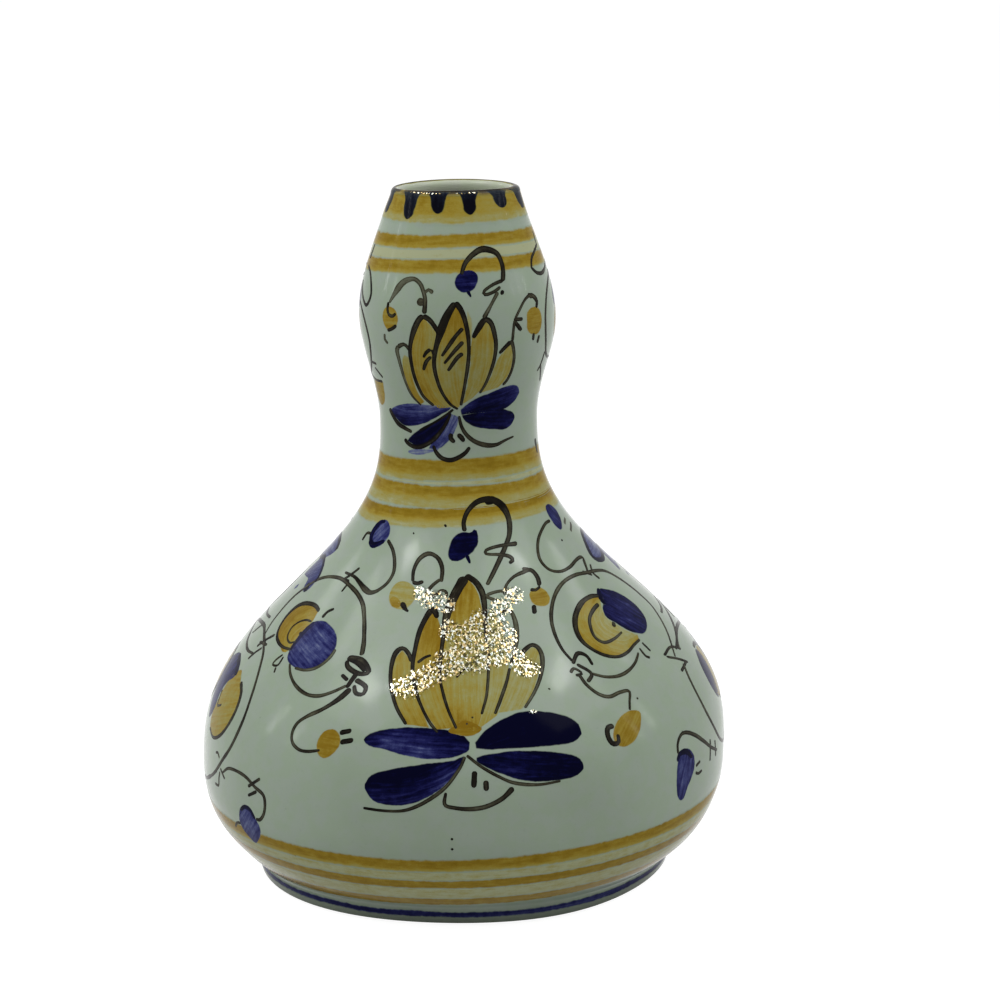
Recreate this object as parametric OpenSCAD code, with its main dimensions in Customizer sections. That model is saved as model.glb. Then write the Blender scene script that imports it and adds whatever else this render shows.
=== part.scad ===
// Gourd vase in painted tin glaze: a wide squat belly, a narrow waist, a small upper bulb and a low foot.
// Millimetres, Z up, the origin at the centre of the face that the foot stands on.

/* [Overall] */
// Height from the floor to the top of the lip
vase_h = 180; // [170:1:210]

/* [Belly] */
// Widest diameter of the belly
belly_d = 137.6; // [125:0.2:150]
// Height of the widest ring of the belly
belly_z = 29.5; // [27:0.5:40]

/* [Waist] */
// Diameter of the narrow waist
waist_d = 41; // [34:0.2:46]
// Height of the neck, from the waist, where it is luted to the belly, to the top of the lip
neck_h = 60; // [54:0.5:68]

/* [Neck] */
// Widest diameter of the upper bulb
bulb_d = 50.4; // [47:0.2:56]
// Drop from the top of the lip to the widest ring of the upper bulb
bulb_drop = 32; // [28:0.5:40]
// Outer diameter under the rounded lip
rim_d = 33.8; // [30:0.2:40]

/* [Foot] */
// Outer diameter at the top of the foot, where the belly grows from it
foot_top_d = 110; // [104:0.2:114]
// How far the foot leans in from its top to the floor
foot_lean = 1.2; // [0.4:0.1:2.4]
// Height of the foot
foot_h = 4.8; // [4.4:0.1:6]
// Width of the face that the foot stands on
foot_face_w = 7.5; // [5:0.1:10]
// Depth of the hollow under the base
recess_h = 2.6; // [1.5:0.1:3.2]
// Radius of the outer edge at the floor
foot_round = 0.7; // [0.3:0.05:0.9]

/* [Clay and glaze] */
// Thickness of the clay wall, square to its surface
clay_wall = 3.6; // [3:0.1:5]
// Thickness of the clay at the lip
lip_wall = 2; // [1.6:0.1:3]
// Thickness of the clay floor
floor_t = 4.6; // [3.6:0.1:7]
// Thickness of the white glaze outside
glaze_t = 0.5; // [0.4:0.02:0.8]
// Thickness of the glaze inside
lining_t = 0.3; // [0.2:0.02:0.5]
// Thickness of the glaze in the hollow under the base
base_glaze_t = 0.3; // [0.2:0.02:0.5]
// Depth that the painted bands sink into the glaze
paint_t = 0.24; // [0.15:0.01:0.32]
// Height of the bare clay left above the floor
bare_h = 0.9; // [0.8:0.05:1.2]

/* [Painted bands] */
// Depth of the yellow rim band below the lip
rim_band_w = 5; // [4:0.1:6]
// Gap between the rim band and the upper neck band
rim_gap = 2.7; // [2:0.1:3.5]
// Width of the upper neck band
neck_band_w = 3.3; // [2.5:0.1:4]
// Gap between the two neck bands
neck_gap = 2.2; // [1.5:0.1:3]
// Width of the lower neck band
low_neck_band_w = 4; // [3:0.1:4.5]
// Drop from the waist to the first waist band
waist_drop = 7; // [4:0.1:9]
// Width of each of the three waist bands
waist_band_w = 4; // [3:0.1:4.8]
// Gap between two waist bands
waist_gap = 1.9; // [1.4:0.1:3]
// Rise from the top of the foot to the lowest yellow foot band
foot_band_rise = 2; // [1.2:0.1:3]
// Width of each of the three foot bands
foot_band_w = 3.1; // [2.4:0.1:3.5]
// Gap between two foot bands
foot_gap = 3.2; // [2.4:0.1:3.5]
// Width of the blue line round the foot
foot_line_w = 1.9; // [1.4:0.1:2.2]
// Strip of white glaze between the blue line and the top of the foot
foot_line_drop = 0.3; // [0.2:0.05:0.5]

/* [Rim drops] */
// Number of blue drops hanging from the lip
drop_count = 12; // [8:1:14]
// Length of a drop below the lip line
drop_l = 4.4; // [3:0.1:4.8]
// Width of a drop
drop_w = 2.9; // [2:0.1:4]

/* [Hidden] */

clay_colour = [0.80, 0.68, 0.55];
white_glaze_colour = [0.86, 0.88, 0.85];
ochre_colour = [0.84, 0.62, 0.22];
cobalt_colour = [0.13, 0.14, 0.42];
brown_colour = [0.20, 0.15, 0.11];

$fn = 96;
waist_bands_n = 3;
foot_bands_n = 3;
// Rows of the turned outline over the whole height, and in a quarter turn of the lip
outline_rows = 66;
lip_rows = 4;
// Rows of the lip's outer quarter that are yellow; the rest carries the brown line
lip_yellow_rows = 2;
// How the belly fills out above the foot: 2 is a plain bowl, more is a fuller one
under_power_share = 2.3;
// Share of the whole height over which a slope is taken
slope_share = 1 / 2000;
// Outline of one rim drop from its top to its tip: share of the length, share of half the width
drop_outline_shares = [[0, 1], [0.2, 0.78], [0.45, 0.62], [0.68, 0.6], [0.86, 0.45], [0.96, 0.22], [1, 0]];

belly_r = belly_d / 2;
waist_r = waist_d / 2;
bulb_r = bulb_d / 2;
rim_r = rim_d / 2;
foot_top_r = foot_top_d / 2;
foot_r = foot_top_r - foot_lean;
lip_r = (glaze_t + lip_wall + lining_t) / 2;
lip_z = vase_h - lip_r;
waist_z = vase_h - neck_h;
bulb_z = vase_h - bulb_drop;
clay_lip_r = lip_wall / 2;
lip_mid = rim_r - lip_r;
clay_lip_mid = rim_r - glaze_t - clay_lip_r;
floor_z = recess_h + floor_t;
foot_in_r = foot_r - foot_face_w;
slope_step = vase_h * slope_share;

// Heights of the painted bands, each as [low, high]
rim_span = [lip_z - rim_band_w, lip_z];
high_neck_span = [rim_span[0] - rim_gap - neck_band_w, rim_span[0] - rim_gap];
low_neck_span = [high_neck_span[0] - neck_gap - low_neck_band_w, high_neck_span[0] - neck_gap];
waist_spans = [for (i = [waist_bands_n - 1 : -1 : 0])
    let (top = waist_z - waist_drop - i * (waist_band_w + waist_gap)) [top - waist_band_w, top]];
foot_spans = [for (i = [0 : foot_bands_n - 1])
    let (low = foot_h + foot_band_rise + i * (foot_band_w + foot_gap)) [low, low + foot_band_w]];
foot_line_span = [foot_h - foot_line_drop - foot_line_w, foot_h - foot_line_drop];

// Easing from 0 to 1 with level ends, soft and steep
function soft(t) = t * t * (3 - 2 * t);
function steep(t) = t * t * t * (10 + t * (6 * t - 15));
function share_of(z, low, high) = (z - low) / (high - low);

// Radius of the glazed outside at height z, from foot to lip
function outside(z) =
    z <= foot_h ? foot_r + (foot_top_r - foot_r) * z / foot_h :
    z <= belly_z ? belly_r - (belly_r - foot_top_r) * pow(share_of(z, belly_z, foot_h), under_power_share) :
    z <= waist_z ? belly_r + (waist_r - belly_r) * steep(share_of(z, belly_z, waist_z)) :
    z <= bulb_z ? waist_r + (bulb_r - waist_r) * soft(share_of(z, waist_z, bulb_z)) :
    let (t = share_of(z, bulb_z, lip_z)) bulb_r + (rim_r - bulb_r) * t * t * (2 - t);

// Level thickness that a skin needs at height z so that it is 1 thick square to a sloping wall
function slope(z) = (outside(z + slope_step) - outside(z - slope_step)) / (2 * slope_step);
function lean(z) = z >= waist_z ? 1 : sqrt(1 + slope(z) * slope(z));

// Radii of the clay outside, the clay inside and the lining at height z
function clay_at(z) =
    z <= bulb_z ? clay_wall : clay_wall + (lip_wall - clay_wall) * share_of(z, bulb_z, lip_z);
function clay_out(z) = outside(z) - glaze_t * lean(z);
function clay_in(z) = clay_out(z) - clay_at(z) * lean(z);
function lining_in(z) = clay_in(z) - lining_t * lean(z);
function painted(z) = outside(z) - paint_t * lean(z);

// Heights of the rows from low up to, but without, high
function rows(low, high) =
    let (n = max(1, ceil(outline_rows * (high - low) / vase_h)))
    [for (i = [0 : n - 1]) low + (high - low) * i / n];
function lip_arc(middle, r, from, to) =
    [for (i = [from : to]) let (a = 90 * i / lip_rows) [middle + r * cos(a), lip_z + r * sin(a)]];
function flip(points) = [for (i = [len(points) - 1 : -1 : 0]) points[i]];

// The heights at which the outline changes, from the foot to the lip: [low, high, painted or not]
function between(from, to, bands) =
    concat([[from, bands[0][0], false]],
           [for (i = [0 : len(bands) - 1])
               each [[bands[i][0], bands[i][1], true],
                     [bands[i][1], i + 1 < len(bands) ? bands[i + 1][0] : to, false]]]);
foot_parts = between(bare_h, foot_h, [foot_line_span]);
belly_parts = concat(between(foot_h, belly_z, foot_spans), between(belly_z, waist_z, waist_spans));
neck_parts = concat([[waist_z, bulb_z, false]], between(bulb_z, rim_span[0], [low_neck_span, high_neck_span]),
                    [[rim_span[0], rim_span[1], true]]);

function heights(parts) = [for (p = parts) each rows(p[0], p[1])];
foot_heights = heights(foot_parts);
belly_heights = concat(heights(belly_parts), [waist_z]);
neck_heights = concat(heights(neck_parts), [lip_z]);
inner_heights = concat([floor_z], [for (z = belly_heights) if (z > floor_z) z]);

// Thrown clay belly with its floor, open at the waist
module belly() {
    color(clay_colour)
    rotate_extrude()
    polygon(concat(
        [[0, recess_h], [foot_in_r, recess_h], [foot_in_r, foot_h]],
        [for (z = belly_heights) [clay_out(z), z]],
        flip([for (z = inner_heights) [clay_in(z), z]]),
        [[0, floor_z]]));
}

// Thrown clay neck, luted on at the waist and rounded at the lip
module neck() {
    color(clay_colour)
    rotate_extrude()
    polygon(concat(
        [for (z = neck_heights) [clay_out(z), z]],
        lip_arc(clay_lip_mid, clay_lip_r, 1, 2 * lip_rows - 1),
        flip([for (z = neck_heights) [clay_in(z), z]])));
}

// Clay foot, luted round the base and left bare where it stands
module foot_ring() {
    color(clay_colour)
    rotate_extrude()
    polygon(concat(
        [[foot_in_r, 0]],
        [for (i = [0 : lip_rows]) let (a = 90 * i / lip_rows)
            [clay_out(foot_round) - foot_round * (1 - sin(a)), foot_round * (1 - cos(a))]],
        [for (z = concat(foot_heights, [foot_h])) [clay_out(z), z]],
        [[foot_in_r, foot_h]]));
}

// Points of the glaze's outer face over one part of the outline, sunk where it is painted
function glaze_points(p) =
    p[2] ? concat([for (z = rows(p[0], p[1])) [painted(z), z]], [[painted(p[1]), p[1]]])
         : concat([for (z = rows(p[0], p[1])) [outside(z), z]], [[outside(p[1]), p[1]]]);

// White tin glaze over the whole outside, with a groove for each painted band
module outer_glaze() {
    below = concat(foot_parts, belly_parts);
    color(white_glaze_colour)
    rotate_extrude()
    polygon(concat(
        [for (p = concat(below, neck_parts)) each glaze_points(p)],
        lip_arc(lip_mid, lip_r - paint_t, 0, lip_rows),
        flip(lip_arc(clay_lip_mid, clay_lip_r, 1, lip_rows)),
        flip([for (z = concat(foot_heights, belly_heights, [for (z = neck_heights) if (z > waist_z) z]))
            [clay_out(z), z]])));
}

// Glaze over the whole inside, from the floor to the top of the lip
module inner_glaze() {
    lining_floor_z = floor_z + lining_t;
    lining_heights = concat([lining_floor_z], [for (z = belly_heights) if (z > lining_floor_z) z],
                            [for (z = neck_heights) if (z > waist_z) z]);
    clay_heights = concat(inner_heights, [for (z = neck_heights) if (z > waist_z) z]);
    color(white_glaze_colour)
    rotate_extrude()
    polygon(concat(
        [[0, floor_z]],
        [for (z = clay_heights) [clay_in(z), z]],
        flip(lip_arc(clay_lip_mid, clay_lip_r, lip_rows, 2 * lip_rows - 1)),
        lip_arc(lip_mid, lip_r, lip_rows, 2 * lip_rows - 1),
        flip([for (z = lining_heights) [lining_in(z), z]]),
        [[0, lining_floor_z]]));
}

// Thin glaze in the hollow under the base
module base_glaze() {
    color(white_glaze_colour)
    translate([0, 0, recess_h - base_glaze_t])
    cylinder(r = foot_in_r, h = base_glaze_t);
}

// Ring of paint that fills the groove between two heights
module band(low, high) {
    heights = concat(rows(low, high), [high]);
    rotate_extrude()
    polygon(concat([for (z = heights) [outside(z), z]], flip([for (z = heights) [painted(z), z]])));
}

// Brown brush line round the top of the lip
module lip_line() {
    color(brown_colour)
    rotate_extrude()
    polygon(concat(
        lip_arc(lip_mid, lip_r, lip_yellow_rows, lip_rows),
        flip(lip_arc(lip_mid, lip_r - paint_t, lip_yellow_rows, lip_rows))));
}

// Yellow paint from under the lip line down to the foot of the rim band, still without its drops
module rim_paint() {
    heights = concat(rows(rim_span[0], rim_span[1]), [lip_z]);
    rotate_extrude()
    polygon(concat(
        [for (z = heights) [outside(z), z]],
        lip_arc(lip_mid, lip_r, 1, lip_yellow_rows),
        flip(lip_arc(lip_mid, lip_r - paint_t, 1, lip_yellow_rows)),
        flip([for (z = heights) [painted(z), z]])));
}

// Drop-shaped cutters that run out through the rim, one for each drop
module drop_cutters() {
    top_z = lip_z + lip_r * sin(90 * lip_yellow_rows / lip_rows);
    side = [for (s = drop_outline_shares) [s[1] * drop_w / 2, top_z - s[0] * drop_l]];
    mirrored = [for (i = [len(side) - 2 : -1 : 0]) [-side[i][0], side[i][1]]];
    lid = [[-drop_w / 2, vase_h], [drop_w / 2, vase_h]];
    for (i = [0 : drop_count - 1])
        rotate([0, 0, 360 * (i + 0.5) / drop_count])
        rotate([90, 0, 90])
        linear_extrude(height = bulb_r)
        polygon(concat(side, mirrored, lid));
}

// Yellow rim band with the drops cut out of it
module rim_band() {
    color(ochre_colour)
    difference() {
        rim_paint();
        drop_cutters();
    }
}

// Blue drops in the rim band
module rim_drops() {
    color(cobalt_colour)
    intersection() {
        rim_paint();
        drop_cutters();
    }
}

// Two yellow bands on the neck
module neck_bands() {
    color(ochre_colour)
    for (b = [low_neck_span, high_neck_span])
        band(b[0], b[1]);
}

// Three yellow bands under the waist
module waist_bands() {
    color(ochre_colour)
    for (b = waist_spans)
        band(b[0], b[1]);
}

// Three yellow bands above the foot
module foot_bands() {
    color(ochre_colour)
    for (b = foot_spans)
        band(b[0], b[1]);
}

// Blue line round the foot
module foot_line() {
    color(cobalt_colour)
    band(foot_line_span[0], foot_line_span[1]);
}

belly();
neck();
foot_ring();
outer_glaze();
inner_glaze();
base_glaze();
lip_line();
rim_band();
rim_drops();
neck_bands();
waist_bands();
foot_bands();
foot_line();
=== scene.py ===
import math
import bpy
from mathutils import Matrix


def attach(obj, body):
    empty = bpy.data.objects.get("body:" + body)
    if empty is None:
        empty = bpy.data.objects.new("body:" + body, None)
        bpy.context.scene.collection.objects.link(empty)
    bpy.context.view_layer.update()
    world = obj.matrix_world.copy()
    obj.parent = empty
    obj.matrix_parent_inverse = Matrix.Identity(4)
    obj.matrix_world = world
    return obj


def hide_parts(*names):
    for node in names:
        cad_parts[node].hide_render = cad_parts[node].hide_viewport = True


bl_info = {
    "name": "Painted Gourd Vase",
    "version": (1, 0, 0),
    "blender": (4, 5, 0),
    "location": "View3D > Sidebar > Vase",
    "description": "Builds the glaze, the painted bands and the painted flowers of a gourd vase",
    "category": "Add Mesh",
}

import bpy
import numpy as np
from bpy.props import FloatProperty, FloatVectorProperty, PointerProperty
from mathutils import Matrix, Vector

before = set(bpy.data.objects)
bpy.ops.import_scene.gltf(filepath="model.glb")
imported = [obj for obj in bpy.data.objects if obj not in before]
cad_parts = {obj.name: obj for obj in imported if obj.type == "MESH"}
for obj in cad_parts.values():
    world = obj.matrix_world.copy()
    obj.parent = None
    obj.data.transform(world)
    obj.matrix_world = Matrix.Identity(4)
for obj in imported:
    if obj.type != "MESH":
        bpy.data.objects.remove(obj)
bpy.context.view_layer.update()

MM = 0.001
TURN = 2 * math.pi

# The wall that the CAD gives, in millimetres
VASE_H = 180.0
BELLY_R, BELLY_Z = 68.8, 29.5
WAIST_R, WAIST_Z = 20.5, 120.0
BULB_R, BULB_Z = 25.2, 148.0
RIM_R = 16.9
LIP_R = 1.4
LIP_Z = VASE_H - LIP_R
LIP_MID = RIM_R - LIP_R
FOOT_R, FOOT_TOP_R, FOOT_H = 53.8, 55.0, 4.8
UNDER_POWER = 2.3
BARE_H = 0.9
FLOOR_Z = 7.2
CLAY_WALL, LIP_WALL = 3.6, 2.0
GLAZE_T, LINING_T = 0.5, 0.3
CLAY_LIP_R = LIP_WALL / 2
CLAY_LIP_MID = RIM_R - GLAZE_T - LIP_WALL / 2
LIP_RISE, RISE_FROM = 1.35, 171.0
SLOPE_STEP = 0.09

# Where the hand-thrown wall is fuller: turn and spread in degrees, height, spread and swell in millimetres
SWELLS = (
    (-48, 36, 0.5, 9.0, 2.5),
    (-85, 45, 24.0, 20.0, 0.9),
    (24, 26, 0.0, 8.0, 2.0),
    (-80, 32, 13.0, 8.0, 0.9),
    (75, 28, 10.0, 6.0, 0.8),
    (-88, 42, 179.0, 3.4, -0.6),
    (88, 36, 56.0, 22.0, 1.3),
    (90, 30, 142.0, 9.0, 0.6),
)
SWELL_DEPTH = 1.6

# All columns of a grid of points
ALL = slice(None)

# The colour maps: the corner for hidden backs, the margin, and the share that a turn and a height fill
HIDDEN = 0.004
MARGIN, TURN_SHARE, SHARE = 0.02, 0.97, 0.96


def outside(z):
    """Radius of the glazed outside at the heights z."""
    z = np.asarray(z, float)
    under = np.clip((BELLY_Z - z) / (BELLY_Z - FOOT_H), 0, 1)
    up = np.clip((z - BELLY_Z) / (WAIST_Z - BELLY_Z), 0, 1)
    swell = np.clip((z - WAIST_Z) / (BULB_Z - WAIST_Z), 0, 1)
    close = np.clip((z - BULB_Z) / (LIP_Z - BULB_Z), 0, 1)
    parts = (
        FOOT_R + (FOOT_TOP_R - FOOT_R) * z / FOOT_H,
        BELLY_R - (BELLY_R - FOOT_TOP_R) * under**UNDER_POWER,
        BELLY_R + (WAIST_R - BELLY_R) * up**3 * (10 + up * (6 * up - 15)),
        WAIST_R + (BULB_R - WAIST_R) * swell**2 * (3 - 2 * swell),
        BULB_R + (RIM_R - BULB_R) * close**2 * (2 - close),
    )
    return np.select((z <= FOOT_H, z <= BELLY_Z, z <= WAIST_Z, z <= BULB_Z), parts[:4], parts[4])


def thrown(points):
    """The same points on the hand-thrown form: the lip pulled up in front, the wall fuller in places."""
    x, y, z = points[..., 0], points[..., 1], points[..., 2]
    r = np.maximum(np.hypot(x, y), 1e-6)
    front = (1 - y / r) / 2
    share = np.clip((z - RISE_FROM) / (LIP_Z - RISE_FROM), 0, 1)
    lifted = z + LIP_RISE * front**2 * share**2 * (3 - 2 * share)
    turn = np.degrees(np.arctan2(x, -y))
    grown = sum(
        swell * np.exp(-(((turn - at) / wide) ** 2) - ((z - height) / tall) ** 2)
        for at, wide, height, tall, swell in SWELLS
    )
    grown = grown * np.clip(r - outside(z) + SWELL_DEPTH, 0, 1)
    return np.stack([x * (1 + grown / r), y * (1 + grown / r), lifted], -1)


def lean(z):
    """Level thickness of a skin that is 1 thick square to the wall at the heights z."""
    slope = (outside(z + SLOPE_STEP) - outside(z - SLOPE_STEP)) / (2 * SLOPE_STEP)
    return np.where(z >= WAIST_Z, 1.0, np.sqrt(1 + slope**2))


def running(steps):
    """Lengths from the start of a line, from the lengths of its steps."""
    return np.concatenate([[0.0], np.cumsum(steps)])


def facing(r, z):
    """Length along a turned outline, and how far it faces outwards and up."""
    s = running(np.hypot(np.diff(r), np.diff(z)))
    out, up = np.gradient(z, s), -np.gradient(r, s)
    size = np.hypot(out, up)
    return s, out / size, up / size


def spun(r, phi, z):
    """Points at the radii r and heights z, turned by phi from the front to the right."""
    return np.stack(np.broadcast_arrays(r * np.sin(phi), -r * np.cos(phi), z), -1)


class Wall:
    """The outline of the glazed outside by the length along it, from the foot over the lip."""

    def __init__(self):
        upright = np.linspace(BARE_H, LIP_Z, 2400)
        bend = np.radians(np.linspace(0, 150, 100))[1:]
        self.r = np.concatenate([outside(upright), LIP_MID + LIP_R * np.cos(bend)])
        self.z = np.concatenate([upright, LIP_Z + LIP_R * np.sin(bend)])
        self.s, self.out, self.up = facing(self.r, self.z)

    def along(self, z):
        """Length along the wall up to the height z."""
        top = int(np.argmax(self.z)) + 1
        return np.interp(z, self.z[:top], self.s[:top])

    def over_lip(self, degrees):
        """Length along the wall up to a turn over the lip, 0 at its outside and 90 at its top."""
        return self.along(LIP_Z) + LIP_R * math.radians(degrees)

    def at(self, s, phi, lift):
        """Points and normals at lift above the wall. phi is 0 at the front and grows to the right."""
        s, phi, lift = np.broadcast_arrays(s, phi, lift)
        out, up = np.interp(s, self.s, self.out), np.interp(s, self.s, self.up)
        r = np.interp(s, self.s, self.r) + lift * out
        z = np.interp(s, self.s, self.z) + lift * up
        return thrown(spun(r, phi, z)), spun(out, phi, up)


WALL = Wall()


class Chart:
    """Tracing paper laid on the wall: u runs to the right and v up along the wall, in millimetres."""

    def __init__(self, phi_deg, z0, turn_deg=0.0):
        self.phi = math.radians(phi_deg + turn_deg)
        self.s0 = float(WALL.along(z0))

    def turn_and_length(self, u, v):
        """The turn round the vase and the length along the wall at a spot of the chart."""
        s = self.s0 + v
        return self.phi + u / np.interp(s, WALL.s, WALL.r), s

    def place(self, u, v, lift):
        """Points and normals on the wall at spots of the chart."""
        phi, s = self.turn_and_length(u, v)
        return WALL.at(s, phi, lift)


# Sheets of glaze and paint


class Coat:
    """A coat of glaze or paint, gathered from closed sheets that follow the wall."""

    def __init__(self, name, seed=1):
        self.name = name
        self.points, self.normals, self.faces = [], [], []
        self.brush, self.grain, self.flat = [], [], []
        self.count = 0
        self.random = np.random.default_rng(seed)

    def keep(self, points, normals, brush, grain, flat):
        """Stores a grid of points with what is painted there, and returns the grid of their numbers."""
        first = self.count
        shape = points.shape[:-1]
        for store, values in (
            (self.points, points),
            (self.normals, normals),
            (self.brush, brush),
            (self.grain, grain),
            (self.flat, flat),
        ):
            store.append(np.broadcast_to(values, shape + (values.shape[-1],)).reshape(-1, values.shape[-1]))
        self.count += points.size // 3
        return (first + np.arange(points.size // 3)).reshape(shape)

    def cells(self, grid, ring, flip):
        """Adds the faces between the points of a grid."""
        ends = np.concatenate([grid, grid[:1]]) if ring else grid
        a, b, c, d = ends[:-1, :-1], ends[1:, :-1], ends[1:, 1:], ends[:-1, 1:]
        corners = np.stack([a, d, c, b] if flip else [a, b, c, d], -1)
        self.faces += corners.reshape(-1, 4).tolist()

    def sheet(self, top, normals, under, brush, grain, flat, columns=ALL, ring=False):
        """Adds a closed sheet. top is its grid of points, under the grid of its back at some columns."""
        turned_out = np.cross(top[1:, :-1] - top[:-1, :-1], top[:-1, 1:] - top[:-1, :-1])
        flip = bool(np.sum(turned_out * normals[:-1, :-1]) < 0)
        face = self.keep(top, normals, brush, grain, flat)
        hidden = np.full(under.shape[:-1] + (2,), HIDDEN)
        back = self.keep(under, -normals[:, columns], brush[:, columns], grain[:, columns], hidden)
        self.cells(face, ring, flip)
        self.cells(back, ring, not flip)
        for edge, turned in ((0, not flip), (-1, flip)):
            self.cells(np.stack([face[:, edge], back[:, edge]], 1), ring, turned)
        if not ring:
            for end, turned in ((0, flip), (-1, not flip)):
                rim = face[end].tolist() + back[end][::-1].tolist()
                self.faces.append(rim[::-1] if turned else rim)
        return flip

    def build(self, finish, slot, *nodes):
        """Makes the piece, gives it its finish and puts it in the place of the CAD nodes."""
        mesh = bpy.data.meshes.new(self.name)
        points = np.concatenate(self.points) * MM
        mesh.from_pydata(points.tolist(), [], self.faces)
        mesh.shade_smooth()
        for name, store in (("brush", self.brush), ("grain", self.grain)):
            layer = mesh.attributes.new(name, "FLOAT_VECTOR", "POINT")
            layer.data.foreach_set("vector", np.concatenate(store).astype(np.float32).ravel())
        self.unwrap(mesh)
        normals = np.concatenate(self.normals)
        mesh.normals_split_custom_set_from_vertices(normals.tolist())
        mesh.validate()
        piece = bpy.data.objects.new(self.name, mesh)
        bpy.context.scene.collection.objects.link(piece)
        mesh.materials.append(finish)
        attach(piece, "root")
        if nodes:
            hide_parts(*nodes)
        return piece

    def unwrap(self, mesh):
        """Lays the sheets flat for the colour maps, with the hidden backs in one corner."""
        flat = np.concatenate(self.flat)
        corners = np.empty(len(mesh.loops), np.int32)
        mesh.loops.foreach_get("vertex_index", corners)
        spots = flat[corners].copy()
        starts = np.empty(len(mesh.polygons), np.int32)
        mesh.polygons.foreach_get("loop_start", starts)
        widest = np.maximum.reduceat(spots[:, 0], starts)
        narrowest = np.minimum.reduceat(spots[:, 0], starts)
        owner = np.searchsorted(starts, np.arange(len(corners)), side="right") - 1
        crossing = (widest - narrowest > 0.5)[owner] & (narrowest > 1.5 * HIDDEN)[owner]
        spots[crossing & (spots[:, 0] < 0.5), 0] += TURN_SHARE
        mesh.uv_layers.new(name="OFBake").data.foreach_set("uv", spots.astype(np.float32).ravel())


CURVE_STEPS = 16


def read_points(text):
    """The points of a brush stroke from words such as '3,-2 4.5,1'."""
    return np.array([[float(n) for n in word.split(",")] for word in text.split()])


def smooth_curve(points, closed=False):
    """A smooth curve through the points, and the lengths along it."""
    p = np.vstack([points[-1:], points, points[:2]]) if closed else points
    t = running(np.maximum(np.hypot(*np.diff(p, axis=0).T), 1e-6) ** 0.75)
    pull = np.empty_like(p)
    pull[1:-1] = (p[2:] - p[:-2]) / (t[2:] - t[:-2])[:, None]
    pull[0] = (p[1] - p[0]) / (t[1] - t[0])
    pull[-1] = (p[-1] - p[-2]) / (t[-1] - t[-2])
    line = []
    for i in range(1 if closed else 0, len(p) - (2 if closed else 1)):
        span = t[i + 1] - t[i]
        x = np.linspace(0, 1, CURVE_STEPS, endpoint=False)[:, None]
        line.append(
            (2 * x**3 - 3 * x**2 + 1) * p[i]
            + (x**3 - 2 * x**2 + x) * span * pull[i]
            + (3 * x**2 - 2 * x**3) * p[i + 1]
            + (x**3 - x**2) * span * pull[i + 1]
        )
    line = np.vstack(line + ([] if closed else [p[-1:]]))
    if closed:
        line = np.vstack([line, line[:1]])
    return line, running(np.hypot(*np.diff(line, axis=0).T))


def even(line, length, shares):
    """Points of a curve at the given shares of its length."""
    at = np.asarray(shares) * length[-1]
    return np.stack([np.interp(at, length, line[:, 0]), np.interp(at, length, line[:, 1])], -1)


def spaced(values, shares):
    """Values given at even steps along a stroke, read at shares of its length."""
    values = np.atleast_1d(values).astype(float)
    return np.interp(shares, np.linspace(0, 1, len(values)), values)


def wobble(random, shares, waves, size):
    """A gentle seeded wander along a stroke."""
    return size * spaced(random.uniform(-1, 1, waves + 2), shares)


# Strokes

# Columns across a line as shares of its half width, and the steps near its ends as shares of its width
LINE_COLUMNS = np.array([-1.0, -0.72, 0.0, 0.72, 1.0])
END_STEPS = np.array([0.05, 0.16, 0.32])

# Steps along a line and along a filled stroke, which are smaller where the wall is narrow
LINE_STEP, FILL_STEP = 0.55, 1.1
STEPS_TO_RADIUS = 30

# How much a line's width and load, a filled stroke's load and a band's load wander
WIDTH_WANDER, LINE_WANDER, FILL_WANDER, BAND_WANDER = 0.09, 0.10, 0.05, 0.06

# How far the round ends of a line close, where 1 is to a point
END_CLOSE = 0.96

# Depth of the sheets' sunk edges and backs, and width of the soft edges
SUNK, BACK = -0.02, -0.12
LINE_EDGE, FILL_EDGE = 0.14, 0.4

# How high each kind of paint lies over the glaze
WASH_LIFT, BAND_LIFT, FILL_LIFT = 0.012, 0.022, 0.032
LIP_LINE_LIFT, LINE_LIFT, DROP_LIFT = 0.05, 0.06, 0.075

# Strokes lie on each other in this many layers, each higher by a step
NEXT_LIFT, LAYERS = 0.0012, 24


def line(points, width=1.15, load=0.8):
    """A stroke of the liner brush. width and load may be a few numbers from its start to its end."""
    return ("line", points, width, load)


def petal(left, right, load=0.7, rim=0.0, lean_by=0.0, step=FILL_STEP):
    """A petal or leaf filled between two edges that run from its base to its tip. load may be a few numbers
    from base to tip, rim is more paint at both edges, and lean_by is more paint at the right edge."""
    return ("petal", left, right, load, rim, lean_by, step)


def pool(points, load=0.7, middle=0.0, pull=0.0):
    """A spot of paint inside a closed edge. middle thins the paint there, and pull is the brush's angle."""
    return ("pool", points, load, middle, pull)


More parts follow.
